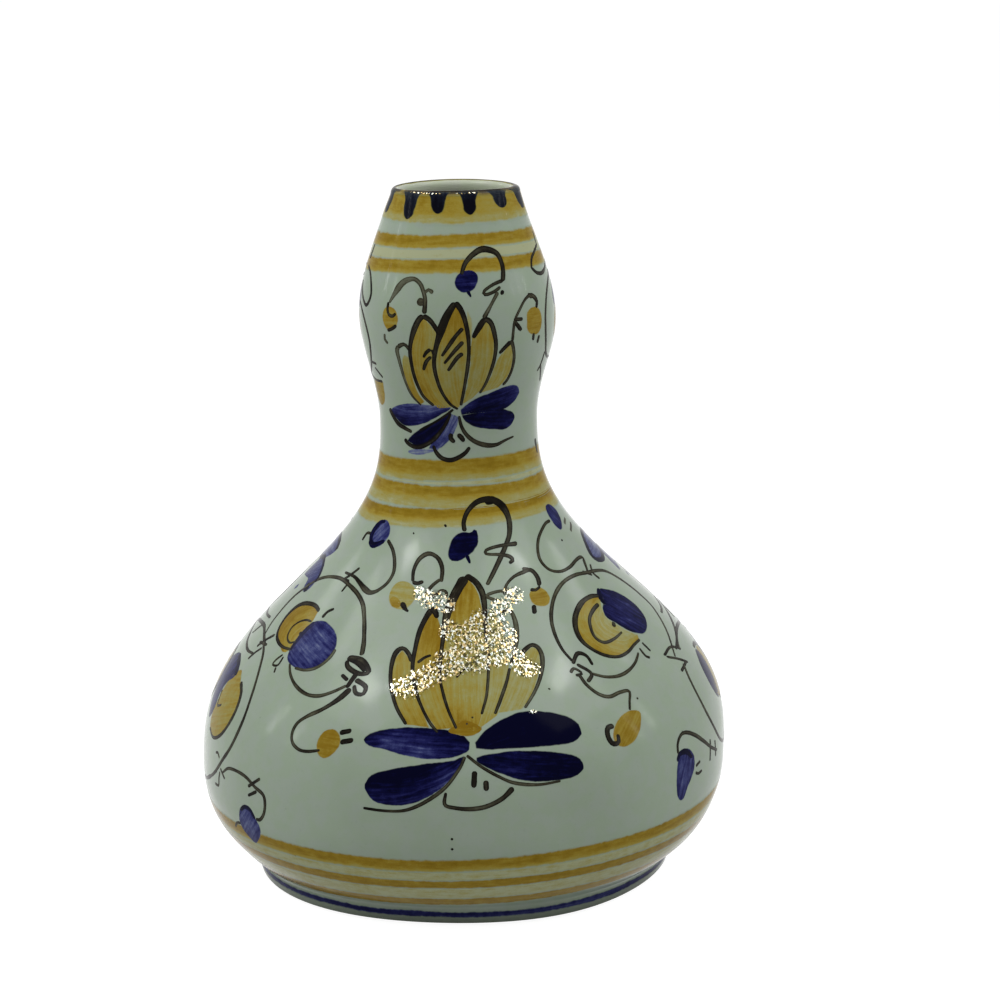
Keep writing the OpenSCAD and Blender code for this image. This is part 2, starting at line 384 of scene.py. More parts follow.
class Painter:
    """Puts strokes on a chart into a coat."""

    def __init__(self, coat, fill_lift=FILL_LIFT):
        self.coat = coat
        self.fill_lift = fill_lift
        self.done = 0

    def lift(self, start):
        """How high the next stroke lies."""
        self.done += 1
        return start + NEXT_LIFT * (self.done % LAYERS)

    def lay(self, chart, u, v, lift, edge, load, along, across, columns=ALL, ring=False):
        """Adds the sheet of one stroke. edge is 0 at its edge and 1 where it is covered."""
        coat = self.coat
        height = np.where(edge <= 0, SUNK, lift)
        top, normals = chart.place(u, v, height)
        under, _ = chart.place(u[:, columns], v[:, columns], BACK)
        seed = float(coat.random.uniform(0, 40))
        brush = np.stack(np.broadcast_arrays(edge, load, seed), -1)
        grain = np.stack(np.broadcast_arrays(along, across, 0.0), -1)
        flat = np.stack(chart.turn_and_length(u, v), -1)
        return coat.sheet(top, normals, under, brush, grain, flat, columns, ring)

    def line(self, chart, text, width, load):
        """Draws a line, with a soft round start and end."""
        random = self.coat.random
        curve, length = smooth_curve(read_points(text))
        total = length[-1]
        first, last = np.atleast_1d(width)[[0, -1]]
        steps = np.linspace(0, total, max(5, int(total / LINE_STEP)))
        at = np.concatenate([steps, first * END_STEPS, total - last * END_STEPS])
        at = np.unique(np.round(np.clip(at, 0, total), 3))
        share = at / total
        centre = even(curve, length, share)
        heading = np.gradient(centre, at, axis=0)
        heading /= np.maximum(np.hypot(*heading.T), 1e-6)[:, None]
        side = np.stack([-heading[:, 1], heading[:, 0]], -1)
        w = spaced(width, share) * (1 + wobble(random, share, max(2, int(total / 3)), WIDTH_WANDER))
        room = np.minimum(at, total - at) / (w / 2)
        w = w * np.sqrt(1 - (1 - np.clip(room, 0, 1)) ** 2 * END_CLOSE)
        half = LINE_COLUMNS[None, :] * w[:, None] / 2
        u = centre[:, :1] + side[:, :1] * half
        v = centre[:, 1:] + side[:, 1:] * half
        edge = (w[:, None] / 2 - np.abs(half)) / LINE_EDGE
        edge[0] = edge[-1] = 0
        full = spaced(load, share) + wobble(random, share, max(2, int(total / 4)), LINE_WANDER)
        lift = self.lift(LINE_LIFT)
        self.lay(chart, u, v, lift, edge, full[:, None], at[:, None], half, [0, 4])

    def petal(self, chart, left, right, load, rim_load, lean_by, step):
        """Fills the wall between two edges with cells that run from one to the other."""
        random = self.coat.random
        sides = [smooth_curve(read_points(text)) for text in (left, right)]
        step = min(step, float(np.interp(chart.s0, WALL.s, WALL.r)) / STEPS_TO_RADIUS)
        total = (sides[0][1][-1] + sides[1][1][-1]) / 2
        share = np.linspace(0, 1, max(10, int(total / step)))
        near, next_to = 0.35 / total, 0.8 / total
        share = np.unique(np.concatenate([share, [near, next_to, 1 - near, 1 - next_to]]))
        a, b = (even(*side, share) for side in sides)
        wide = np.hypot(*(b - a).T)
        widest = wide.max()
        inner = np.linspace(-1, 1, max(5, int(widest / (1.2 * step)) + 2))[1:-1]
        rim = 1 - 2 * FILL_EDGE / widest
        inner = inner[np.abs(inner) < rim - 0.02]
        t = np.unique(np.round(np.concatenate([[-1, -rim], inner, [rim, 1]]), 4))
        mix = (t[None, :] + 1) / 2
        u = a[:, :1] * (1 - mix) + b[:, :1] * mix
        v = a[:, 1:] * (1 - mix) + b[:, 1:] * mix
        across = t[None, :] * wide[:, None] / 2
        along = share * total
        near = np.minimum(along, total - along + 0.2)[:, None]
        edge = np.minimum(wide[:, None] / 2 - np.abs(across), near) / FILL_EDGE
        edge[:, 0] = edge[:, -1] = 0
        edge[0] = edge[-1] = 0
        full = spaced(load, share) + wobble(random, share, 4, FILL_WANDER)
        full = full[:, None] + rim_load * t[None, :] ** 2 + lean_by * t[None, :]
        lift = self.lift(self.fill_lift)
        self.lay(chart, u, v, lift, edge, full, along[:, None], across)

    def pool(self, chart, text, load, middle, pull):
        """Fills the wall inside a closed edge with rings round its heart."""
        curve, length = smooth_curve(read_points(text), closed=True)
        total = length[-1]
        rim = even(curve, length, np.linspace(0, 1, max(14, int(total / 0.8)), endpoint=False))
        heart = rim.mean(0)
        reach = np.hypot(*(rim - heart).T).mean()
        t = np.array([0.12, 0.4, 0.68, 1 - FILL_EDGE / reach, 1.0])
        t = np.unique(np.clip(t, 0.12, 1))
        u = heart[0] + (rim[:, :1] - heart[0]) * t[None, :]
        v = heart[1] + (rim[:, 1:] - heart[1]) * t[None, :]
        edge = (1 - t[None, :]) * np.hypot(*(rim - heart).T)[:, None] / FILL_EDGE
        full = load - middle * (1 - t[None, :] ** 2) + 0 * u
        turn = math.radians(pull)
        along = u * math.cos(turn) + v * math.sin(turn)
        across = v * math.cos(turn) - u * math.sin(turn)
        lift = self.lift(self.fill_lift)
        before = self.coat.count
        flipped = self.lay(chart, u, v, lift, edge, full, along, across, ring=True)
        n, m = len(rim), len(t)
        heart_face = [before + i * m for i in range(n)]
        heart_back = [before + n * m + i * m for i in range(n)][::-1]
        self.coat.faces += [heart_face, heart_back] if flipped else [heart_face[::-1], heart_back[::-1]]

    def paint(self, chart, strokes):
        """Paints the strokes in their order."""
        for kind, *rest in strokes:
            getattr(self, kind)(chart, *rest)


# The flowers: every stroke was drawn on a chart of the wall

BELLY_BLOOM = {
    "ochre": (
        petal("-14.4,26.6 -16.8,31 -18.1,36 -18.3,40 -17.8,43.6 -15.4,47",
              "-8.4,26 -10.8,32 -12,37 -12.6,41 -13,43.6 -15.4,47", (0.75, 0.55, 0.45, 0.55, 0.6)),
        petal("8.3,29.5 9.9,35 11.2,39.5 12.4,42.5 14.5,44.3 17.6,46.8",
              "14.5,30 17.4,34 19.3,39 19.9,43 19.2,45.8 17.6,46.8", (0.3, 0.3, 0.35, 0.3)),
        petal("-7,25.6 -9.8,30 -11.6,35 -12.6,41 -11.9,47.5 -10.6,52.5 -8.6,56.4 -7,58.6",
              "-2,26 -3.6,31 -5.1,36 -5.8,40 -5.4,46 -5,51 -5.6,55 -7,58.6", (0.7, 0.5, 0.55, 0.8, 0.85)),
        petal("2.6,25 4.2,29.5 5.6,35 6.2,44 5.8,52 6,56.5 7.4,58.8",
              "8.3,29 10,35 11.2,39.5 11.6,43 11.4,47 10.6,51 9.2,55.6 7.4,58.8", (0.45, 0.3, 0.3, 0.2)),
        petal("-2.4,25.6 -4,31 -5.4,36 -5.9,40 -5.5,46 -4.5,52 -3.5,58 -1.5,63 1.1,68",
              "3.2,25 4.6,29.5 5.8,35 6.3,40 6.3,44 5.7,52 5,60 3.6,65 1.1,68",
              (0.85, 0.5, 0.45, 0.45, 0.55, 0.8, 0.85), 0.0, -0.08),
        pool("-4.5,25.2 -2,27.4 0,28.4 2.5,27.6 4.6,26 2.6,24.2 0,23.9 -2,24.3", 0.95),
        pool("-19.5,61 -18.6,64 -16.4,66.2 -13.8,66.2 -11.8,64.4 -12,61.4 -14,58.6 -16.6,57.9 -18.8,58.8",
             0.38),
        pool("-19.4,60.8 -18.2,62 -16.4,61.4 -15.4,59.4 -16.6,58.1 -18.6,58.7", 0.72),
        pool("17.4,61.4 18.6,63 20.8,63.2 22.6,62 23.8,59.6 23.2,57.8 21,57.4 18.4,58.6", 0.62, -0.2),
    ),
    "cobalt": (
        petal("1.4,22.6 -1,25 -5,26 -13,26.4 -20,25.4 -24.4,23.8 -25.8,22.2",
              "1.2,20.6 0,19.6 -4,18.4 -10,18.2 -16,19 -20,20 -24.6,20.6 -25.8,22",
              (0.9, 0.8, 0.62, 0.58, 0.95), 0.12, -0.18),
        petal("0,19.5 -3,18.3 -10,17.4 -18,15.8 -23.6,13.9 -25.6,11.2",
              "-0.8,17.4 -2.2,15 -6,11 -12,7.5 -18,6.3 -23.3,7.1 -25.6,10", (0.8, 0.75, 0.9, 0.95, 0.9),
              0.05, -0.24),
        petal("2.3,22.4 5,25.5 9,28 14,29.7 20,29.2 26,27.2 29.4,24.7 30.2,22.2",
              "2.6,20.8 6,20.3 10,20.3 15,20.1 20,20 27.6,20 30.2,21.6", (1.05, 1.1, 1.15, 1.15), 0.1,
              -0.08),
        petal("2.5,18.8 5,19.5 12,20 20,19.2 27,17.5 29.8,15.8 30.4,14",
              "2.6,17.6 4,16.6 9,14.1 15,12 22,11.3 28,11.6 30.4,13.2", (1.0, 0.8, 1.0, 1.0), 0.1),
        pool("-3.5,73.6 -3.2,76.6 -1.8,79.4 0.6,80.6 2.6,80.3 3.6,81.2 4.3,80.6 4.6,77.6 3.4,75 1.4,73.4 "
             "-0.6,72.3 -2.6,72.4", 0.95),
        line("1.4,74 2.2,71.7", (1.4, 0.7), 0.9),
    ),
    "brown": (
        line("-2,26 -4,31 -5.3,36 -5.9,40 -5.5,46 -4.7,52 -3.6,58 -1.5,63.4 1,68",
             (0.9, 1.0, 1.1, 1.5, 2.6, 3.2), (0.7, 0.75, 0.8, 1)),
        pool("-2.6,60.6 -1.4,64.6 -0.2,67.4 1.2,68.6 3,68 4.4,66.4 3.4,65.4 1.6,65.4 0,63.8 -1.4,60.6",
             1.0),
        line("1,68.5 3.8,66 5.4,62 5.8,52 6.3,44 5.7,35 4.3,29.5", (2.0, 1.7, 1.3, 1.1, 1.0, 0.8),
             (1, 0.85, 0.6, 0.55, 0.7)),
        line("-6.6,25 -8.6,27.6 -11,32.6 -12.2,37 -12.8,42 -12,47.5 -10.8,52.5 -9,56.6 -7.6,58.8",
             (0.9, 1.1, 1.2, 1.4, 1.9), (0.8, 0.8, 0.9, 1)),
        line("-8.2,58.8 -7,58.2 -6.4,56.2", (2.2, 2.0, 1.4), 1.0),
        line("-11.5,43.4 -9.6,45 -8,45.7", 0.9, 0.85),
        line("7.6,29.4 9.4,34 10.8,38 11.6,41.5", (0.9, 1.1, 0.9), 0.65),
        line("12,42.6 13,46 13.7,49.5 13.6,53.5 12.8,56.6 11.6,58.4", (0.9, 1.4, 1.5, 1.1),
             (0.6, 0.45, 0.5)),
        line("-14.5,26.8 -16.9,31 -18.3,36 -18.5,40 -17.9,43.8 -16.9,46.2 -15.3,47.2 -13.9,46 -13,43.6",
             (1.0, 1.1, 1.2, 1.5, 1.4), 0.85),
        line("15.2,30.4 18.2,35 19.8,39 20.3,43 19.4,46 17.7,47.2 15.8,46.2 14.8,44.8",
             (0.9, 1.1, 1.2, 1.4, 1.3, 1.6), (0.55, 0.6, 0.85)),
        line("1.4,42.4 -0.2,41.4 -1.8,39.5", (0.6, 0.8), 0.8),
        line("-26,5.2 -20,5 -15,5.5 -10,7.8 -5,11.5 -1.5,16 0,19", (0.7, 0.9, 1.1, 0.8), (0.9, 0.7, 0.6)),
        line("0.4,19.3 4,16.4 8,13.9 12,12 18,11 24,11.2", (0.8, 0.9, 0.9, 0.6), (0.7, 0.55, 0.5)),
        line("-4.9,10.2 -5.2,7.2 -3,6.4 1,6 5,6.5 9,8.3 11.8,10.8", (0.8, 1.1, 1.2, 1.2, 1.7),
             (0.85, 0.7, 0.75, 0.85)),
        line("2.3,15.4 2,11.3", (1.5, 1.4), 0.9),
        line("5,13 5.1,10.4", (1.7, 1.3), 0.85),
        line("1,80.5 0.8,83 2,86 4.6,88.2 8,88.4 11,86.5 12.8,83 12.9,79 11.5,75.5 9,70.5 6.4,65.4",
             (1.3, 1.5, 1.8, 2.2, 1.6, 1.6, 1.4, 1.2), (0.9, 0.9, 1, 0.9, 0.75, 0.55)),
        pool("6,88.2 7.2,89.4 9.2,89.2 9.8,87.8 8.6,87 6.6,87", 1.0),
        line("15,76 10,76 6.5,75.2 6.3,74.2 10,73.6 12.6,72.8 13.5,71.6 12.4,71", (1.4, 1.0, 0.9, 1.0, 1.3),
             (0.85, 0.65, 0.6, 0.8)),
        pool("-16.4,59.4 -15.8,60.6 -14.6,60.4 -14,59 -14.2,58 -15.4,58", 1.0),
        line("-15,58.4 -13.8,57.8", 0.9, 0.9),
        line("-12.7,66.3 -12.4,69.6 -10.8,72.8 -8.3,74.4 -6,73.3 -4.9,70.4 -5.2,66.6",
             (1.0, 1.1, 1.4, 1.2, 1.0), (0.8, 0.7, 0.9, 0.6)),
        line("-5.4,67.4 -7.4,65.6 -9,63.4 -8.8,62.2 -6.8,62.8 -5.2,64.2 -4,63.8 -4,62.4",
             (1.0, 1.0, 0.9, 1.0), (0.6, 0.5, 0.6)),
        line("-12.8,66.2 -11.4,65.9 -9.8,66.6", (1.4, 1.0), 0.85),
        line("18.7,58.4 18.9,55.8", (1.4, 1.6), 1.0),
        line("18,62.8 19.6,62.4 21,63.2", (1.2, 1.0), 0.95),
        line("20.9,63.4 20.3,66 18.5,68.2 16.5,68 13.5,67 11.5,65 10.8,62.5", (1.5, 1.2, 1.3, 1.0, 0.9),
             (0.95, 0.7, 0.6, 0.5)),
        line("16,69 17.6,68.6 18.6,68", 1.0, 0.6),
        line("12,63.2 9.4,63.4 6.8,62.8 6.2,62.2 8,61.2 9.8,60.6", (0.9, 1.0, 0.8), 0.5),
        line("8.8,57.2 11.2,57.8", 0.9, 0.6),
        pool("-4.4,82.2 -3.9,82.6 -3.4,82 -3.8,81.5", 0.9),
        pool("-12.8,79.6 -12.4,79.9 -12.2,79.4 -12.5,79.2", 0.7),
        pool("-4,-1.7 -3.6,-1.3 -3.2,-1.7 -3.6,-2.1", 0.8),
        pool("-4,-4.4 -3.6,-4 -3.2,-4.4 -3.6,-4.8", 0.7),
        pool("1.6,28.8 2,29.2 2.4,28.8 2,28.4", 0.7),
        pool("0.2,27.2 0.6,27.6 1,27.2 0.6,26.8", 0.5),
    ),
}

LEFT_ROSETTE = {
    "ochre": (
        petal("-8.3,53 -10.7,53.9 -14,53.8 -17.7,52.7 -20.3,50.7 -21.9,47.7 -21.9,44.7 -20.3,42.3 "
              "-17.3,41 -13.3,39.2",
              "-8.3,50 -8.6,48.5 -8.8,47.5 -9,46.5 -9.4,45.2 -9.8,44 -10,43 -10.2,42 -10.4,40.8 "
              "-11.5,39.5", 0.68, 0.0, -0.12),
        pool("15.3,23.9 18,22.7 19,20 17.7,17.3 15.3,15.9 13,17 12,20 13,22.7", 0.8),
    ),
    "cobalt": (
        pool("-4.7,77.7 -4.1,80 -2.7,81.9 -0.7,82.1 1,80.7 2,78.3 1.3,75.7 -0.3,74.1 -2.7,74.1 -4.1,75.2",
             0.5, 0.15, 60),
        line("-2.9,74.6 -4.2,76.4 -4.3,78.4 -3,80.8 -1.2,81.4", (1.2, 1.7, 1.8, 1.0), 0.95),
        line("-4.3,75.6 -2,74.6 1.2,76.4", (1.6, 2.0, 1.4), 1.0),
        pool("-8,50 -4,51.2 0,50.1 3,48 4.8,44.7 4.3,41 2,38 -2,36.7 -6.7,36.8 -10,38.3 -10.8,41.3 "
             "-9.7,44 -9,47.3", 0.62, 0.25, -20),
        line("-10.4,40.5 -9.8,44 -8.8,47.4 -7.2,49.8", (1.2, 2.0, 1.6), 0.9),
        pool("-34,57.3 -32,60.7 -28.7,64.3 -25,65.5 -21.3,64.3 -18.8,61.7 -18.5,59.3 -19.3,56.7 -21.7,55 "
             "-24,56.3 -24.7,58 -30,57.7", 0.55, 0.15, 30),
        line("-30,63.2 -26,65 -21.6,64 -19,61.5 -18.8,59", (1.0, 1.5, 1.6, 1.2), 0.95),
        pool("-23.4,57.6 -21.6,58.4 -20,57.4 -20,55.8 -21.7,55 -23.2,56", 1.0),
        pool("-11.7,-1.5 -9.3,-1.7 -6.7,-4 -5.3,-6 -5.7,-8.7 -7.3,-10.7 -9.7,-12.7 -12,-11.3 -14.3,-9.3 "
             "-15,-6.7 -14,-3.3", 0.6, 0.2, 50),
        line("-13.4,-3.6 -11.4,-2.2 -9,-2.4 -7,-4.4", (1.2, 1.6, 1.2), 0.95),
    ),
    "brown": (
        line("-5,77.3 -6.7,77 -7.3,74.8", 0.9, 0.7),
        line("2,76.8 5,74.3 7.3,71 8.5,68 8.3,65 6.7,62.5 5,61.7 3,62.3 0,63.8 -3,65 -7.3,65.3",
             (1.0, 1.1, 1.1, 1.2, 1.8, 1.0, 0.8), (0.8, 0.7, 0.6, 0.7, 0.95, 0.7)),
        line("-2.7,67.7 -4.7,65 -6.7,63", 0.9, 0.8),
        line("-7.3,63 -4,63.3 -4.3,60", 0.8, 0.7),
        line("-28,40.3 -28.7,43.3 -28.5,46 -27.7,49.3 -26,52.7 -23.7,55.3 -19,59.5 -16,61.3 -12,62.7 "
             "-7.3,63.3 -2.7,62.3 1.3,60.7 4.7,58.3 7.3,55 10,50.7 12,47 13.2,44",
             (0.9, 1.1, 1.1, 1.2, 1.3, 1.2, 1.4), (0.6, 0.7, 0.6, 0.7, 0.6, 0.8)),
        line("-8.3,53 -10.7,53.9 -14,53.8 -17.7,52.7 -20.3,50.7 -21.9,47.7 -21.9,44.7 -20.3,42.3 -17.3,41 "
             "-14,40.5 -10.3,40.8", (1.2, 1.5, 1.5, 1.2, 0.9), (0.9, 0.9, 0.7)),
        line("-8.7,49.7 -11.3,49.5 -14,48 -15.5,45.7 -14.7,43.3 -12.3,42.3 -10,43.3", 0.75, 0.7),
        pool("-11.1,45.7 -10.3,46.5 -9.5,45.7 -10.3,44.9", 0.9),
        line("4.8,44.4 4.4,41.6 2.4,38.6 -1,37 -5,36.7", (1.1, 1.2, 0.8), 0.5),
        line("-3.3,55 -5,53.7 -5.7,51.7", (0.9, 1.3), 0.9),
        line("-12.3,38.7 -14,36.7 -14.3,35.3 -12,35.7 -11.5,38.3", 0.75, 0.7),
        line("-12.3,35 -11.8,33.5", 0.75, 0.7),
        line("-7.7,37.3 -5.3,34.7 -1.3,32.3 3.3,31 7.3,31.3 10.7,33 13.7,35.3", (0.8, 1.0, 1.1, 1.0), 0.6),
        line("9.7,43 13.3,42 16.7,40", (1.8, 1.8, 1.5), 1.0),
        line("10,43 14,42.7 17.7,39.7 15.3,39 11.3,40.3 9.9,42", (1.5, 1.5, 1.3), 0.95),
        line("15.3,37.3 19,35.7 19.3,33.7 17.3,33.7 15.7,35.7", (1.4, 1.2, 1.0), 0.9),
        line("10.7,38 13.3,36.7", 1.0, 0.9),
        line("14.7,39.3 14,34.7", (1.6, 1.3), 1.0),
        line("15.3,34.7 13.3,31.3 10,28 6.7,25.7 4.3,23.3 3.7,20.7 4.7,18.3 7.3,17 10,17 13.7,17.9",
             (2.0, 1.4, 1.1, 1.0, 0.8), (1, 0.7, 0.6, 0.8)),
        line("17.7,23 20.7,24", (1.5, 1.4), 0.95),
        line("18.7,20.7 22.1,21.7", (1.5, 1.4), 0.95),
        line("-30,40.7 -24.7,38.3 -21.7,36.3 -19.3,32.7 -17.7,29 -16.7,24.7 -16.5,20 -17.7,15.3 -20,11 "
             "-24,6.7 -28,3 -32,0.3 -36,-1.3", (0.9, 1.1, 1.2, 1.3, 1.1, 0.9), (0.6, 0.7, 0.8, 0.7, 0.6)),
        line("-21.7,42 -24,40.3 -26.7,38 -28,36.7", 1.0, 0.8),
        line("-29,32.7 -26.7,35.3 -24.3,37.3", 0.9, 0.7),
        line("-28,38 -22.5,38.7", 0.9, 0.7),
        line("-23.3,3.7 -20,5.7 -15.3,6.3 -10.7,5.9 -6.7,4.3 -3.3,3 -2.7,0.7 -3.3,-2 -5,-4 -6.7,-4.3",
             (0.8, 1.0, 1.1, 1.2, 0.9), 0.7),
        line("-14.7,-7.7 -16.7,-8.3 -18.3,-10", 0.9, 0.7),
        line("-4.7,7 -9.7,3.7", 0.9, 0.8),
        line("-9.7,1.3 -6,3.3", 0.9, 0.8),
        line("-29,7.3 -27.5,7.7 -26,6.7", 0.8, 0.5),
        line("-29,-1 -26.3,-0.7 -26,1.3 -25.3,3.3", 0.8, 0.5),
        line("-25,4.3 -22,2.3", 0.8, 0.6),
    ),
}

LEFT_SIDE = {
    "ochre": (
        pool("1.2,11.3 6.2,10.2 11.2,12.1 14.5,15.8 15.5,20.4 13.7,24.6 9.9,27.1 5.3,29.6 1.5,26 0.4,20 "
             "-0.5,14", 0.6, 0.1, 20),
    ),
    "cobalt": (
        pool("4.1,27.1 -0.5,30.8 -4.7,31.7 -8.8,30 -12.2,26.7 -11.3,21.7 -8,16.7 -3.8,12.5 0.3,15.8 "
             "-0.1,20 1.2,24.2", 0.75, 0.15, 60),
        line("4.3,27.3 0.5,29.8 -4,31.3", (2.0, 2.2, 1.4), 1.0),
    ),
    "brown": (
        line("9.9,27.1 13.7,24.6 15.5,20.4 14.5,15.8 11.2,12.1 6.2,10.2 1.2,11.3", (1.3, 1.4, 1.2, 0.9),
             0.8),
        line("0.3,21.7 2,17.9 5.3,18.8", 0.8, 0.6),
        line("-31,34 -24,36 -17.2,38.3 -11.3,40 -3,41.3 2.8,40 7.8,38.3", (0.8, 1.0, 1.2, 1.0), 0.75),
        line("-17,42.5 -11.3,42.7 -3.8,43.8", 0.9, 0.7),
        line("-5,41 -8,37", 0.9, 0.7),
        line("-4.7,-3.8 1.2,-2.5 7,0 12,2.9", (0.9, 1.1, 0.9), 0.7),
    ),
}

RIGHT_ROSETTE = {
    "ochre": (
        petal("10.3,56.3 7.3,56.9 3.3,56.2 -0.7,53.7 -3.3,50.3 -4.1,46.7 -3,43.7 0,40.7 4,39.2 8,39.5 "
              "12,40.7 15.2,41.3",
              "9.6,54.6 9,53.4 8.6,52.2 8.2,51.2 8,50.4 8.4,49.6 9.2,48.6 10,47.8 11,46.6 12,45.4 "
              "13.4,44.2 15.6,42.8", (0.6, 0.45, 0.4, 0.4, 0.5), 0.0, -0.22),
        pool("0,25 2.5,24 2,22 0,19 -2.7,17 -6,16.3 -8.3,17.3 -8.7,20 -6.7,22.7 -3.3,24.7", 0.72, 0.0, 40),
    ),
    "cobalt": (
        pool("8.3,83.7 10,84.1 12,83.3 14,81.3 14.3,79.3 13.3,77.3 11.3,76 9.7,77 8.5,79.3 8,81.7", 0.72,
             0.2, -50),
        pool("12,58 14.7,57.3 18.7,55.3 22,52.3 24.3,48.7 24.3,45.3 22,43 18.7,41.9 15.3,43 12,45.3 "
             "10,47.7 8,50 8.3,52.7 10.7,54.7", 0.85, 0.2, -45),
        line("12,58.2 10.4,55.6 10.6,53.4", (1.4, 2.2, 1.2), 1.0),
        pool("13.3,10.7 15.3,11 18,10 19.9,7.7 19.9,5 18.7,2.7 16.3,0.3 14.3,-2.3 12.7,-2.5 11.3,-1 "
             "10.7,2.7 11.2,7.3", 0.65, 0.2, 70),
        line("11.6,8.4 13,10 16,9.8 18.6,7.6", (1.4, 1.8, 1.2), 0.95),
    ),
    "brown": (
        line("14.7,77 17.3,78", 1.0, 0.4),
        line("16,74.5 20,76", 1.0, 0.4),
        line("8,79.7 5.3,79.3 1.3,76.7 -1,73.7 -2.1,70.3 -1,67.3 2,66 6,66.3 10.7,67.5 13.7,67.3 13,65 "
             "11.7,63", (0.9, 1.0, 1.0, 1.1, 0.9), (0.7, 0.6, 0.7, 0.6)),
        line("13.3,66.7 12,63 12.5,62.3", 0.8, 0.7),
        line("10,64 13,62", 0.8, 0.7),
        line("15.3,64.7 14,62.5 15.3,60.2", 0.9, 0.8),
        line("-10,41 -10.8,44.7 -10.3,49.3 -8.7,53.7 -5.7,58 -2,61.3 2,63.2 6.7,63.8 10.7,63.3 16,62.5 "
             "20.7,61 25.3,57.7 29.3,53.7 32,50 33.7,46 32.7,42.3 30.7,38.7 28,35.3 26.3,32.7",
             (1.0, 1.1, 1.2, 1.1, 1.0, 1.1, 0.8), (0.8, 0.6, 0.6, 0.7, 0.6)),
        line("10.3,56.3 7.3,56.9 3.3,56.2 -0.7,53.7 -3.3,50.3 -4.1,46.7 -3,43.7 0,40.7 4,39.2 8,39.5 "
             "12,40.7 15.2,41.3", (1.4, 1.7, 1.7, 1.3, 1.0, 0.8), (0.8, 0.9, 0.8, 0.6)),
        line("8.3,54.3 5.3,53.3 2.3,51.3 0.7,48.3 0.5,45.7 2.3,43.9 6,44 10.3,45", (1.4, 1.3, 0.8),
             (0.8, 0.6)),
        pool("8,47.7 9,48.7 10,48 9.6,46.8 8.4,46.7", 0.5),
        line("13,39.3 13.7,36.7 15,35.9", 0.8, 0.7),
        line("15.3,40.3 16.7,37.3", 0.8, 0.7),
        line("-6.7,36.7 -3.3,35 0.7,34.3 4.7,34.8 8.7,36.3 11.7,38.3", (0.9, 1.0, 0.8), 0.6),
        line("-10.3,40.3 -7.3,42.8 -5.3,41.7 -5,38.8", (1.1, 1.3, 1.0), 0.85),
        line("-12.3,38 -10.7,39 -9.3,37.3 -11.3,37", 0.9, 0.7),
        line("-9.3,40 -6.7,36.7 -9,34.7", 1.1, 0.8),
        line("-10.3,37.3 -9.7,34 -7.7,31 -5,29.7 -1.3,30.1 1.7,29.7 0.3,27 -0.7,25", (1.1, 1.1, 1.0, 0.8),
             (0.8, 0.6, 0.6)),
        line("-7.3,22.3 -9.3,22 -10,20 -9.3,18 -7.5,18 -7,20", (1.4, 1.5, 1.2), 0.95),
        line("12.3,10.3 12.7,12.7 14.7,14.5 17.3,14.5 21.3,12.7 26,9.7 30.7,6.7 36,4.3",
             (1.1, 1.1, 1.2, 1.0, 0.9), 0.7),
        line("20.5,4.7 23,5.3", 0.9, 0.7),
        line("20.3,3 22,2.3 24,2.5", 0.9, 0.7),
        line("30.3,8.7 29.7,3.3", 0.9, 0.8),
        pool("8.6,73.7 9,74.1 9.4,73.7 9,73.3", 0.7),
        pool("-20.4,34.7 -20,35 -19.7,34.6 -20,34.3", 0.6),
        pool("2.9,27.3 3.3,27.7 3.7,27.3 3.3,26.9", 0.6),
    ),
}

RIGHT_SIDE = {
    "ochre": (
        pool("6,16.5 10,14.6 14,15 17.5,18 18.5,22 17,26 14,28.6 10,29 9,25 8,20", 0.65, 0.1, 20),
    ),
    "cobalt": (
        pool("13,65 4.2,63 -1,64 -2.3,66 0,69 5,72 12,71.5 16,69", 0.45, 0.15, 0),
        line("13,65 4.2,63.4 -0.6,64.4 -1.6,66 0.4,68.6 5,71.4 12,71 15.6,69", (1.4, 1.6, 1.8, 1.6, 1.4),
             0.95),
        pool("1.7,21.7 3.3,26.7 8.3,29.6 11,27 10,21 8.6,16 6.7,15 3.3,17.5", 0.85, 0.1, 60),
        pool("13,54.2 14.2,55.4 15.6,54.2 14.2,53", 0.4),
    ),
    "brown": (
        line("-12.5,34.6 -6.7,35.4 -2.1,33.3", 0.9, 0.8),
        line("-12,34 -8,32 -4,29.5", 0.9, 0.7),
        line("-10.5,28.8 -4.5,30", 0.9, 0.8),
        line("-3.3,33.3 0,35.4 5,36.7 10,36.7 15,35.8 20,34.6 26,34 31,34.6", (1.0, 1.1, 1.0, 0.8), 0.7),
        line("-7.1,30 -9.2,25.8 -9.8,20.8 -8.8,15.8 -5.8,10.8 -1.7,6.7 3.3,4.2 9,3.2 15,4.4",
             (1.0, 1.2, 1.1, 0.9), 0.7),
        line("8.3,30 13,29.6 17,27.2 19,23 18,18 14.6,15 10,14.4", (1.2, 1.3, 1.0), 0.8),
        line("-10.3,9 -11,4", 0.9, 0.8),
        line("-6.5,7.5 -6,3", 0.9, 0.7),
    ),
}

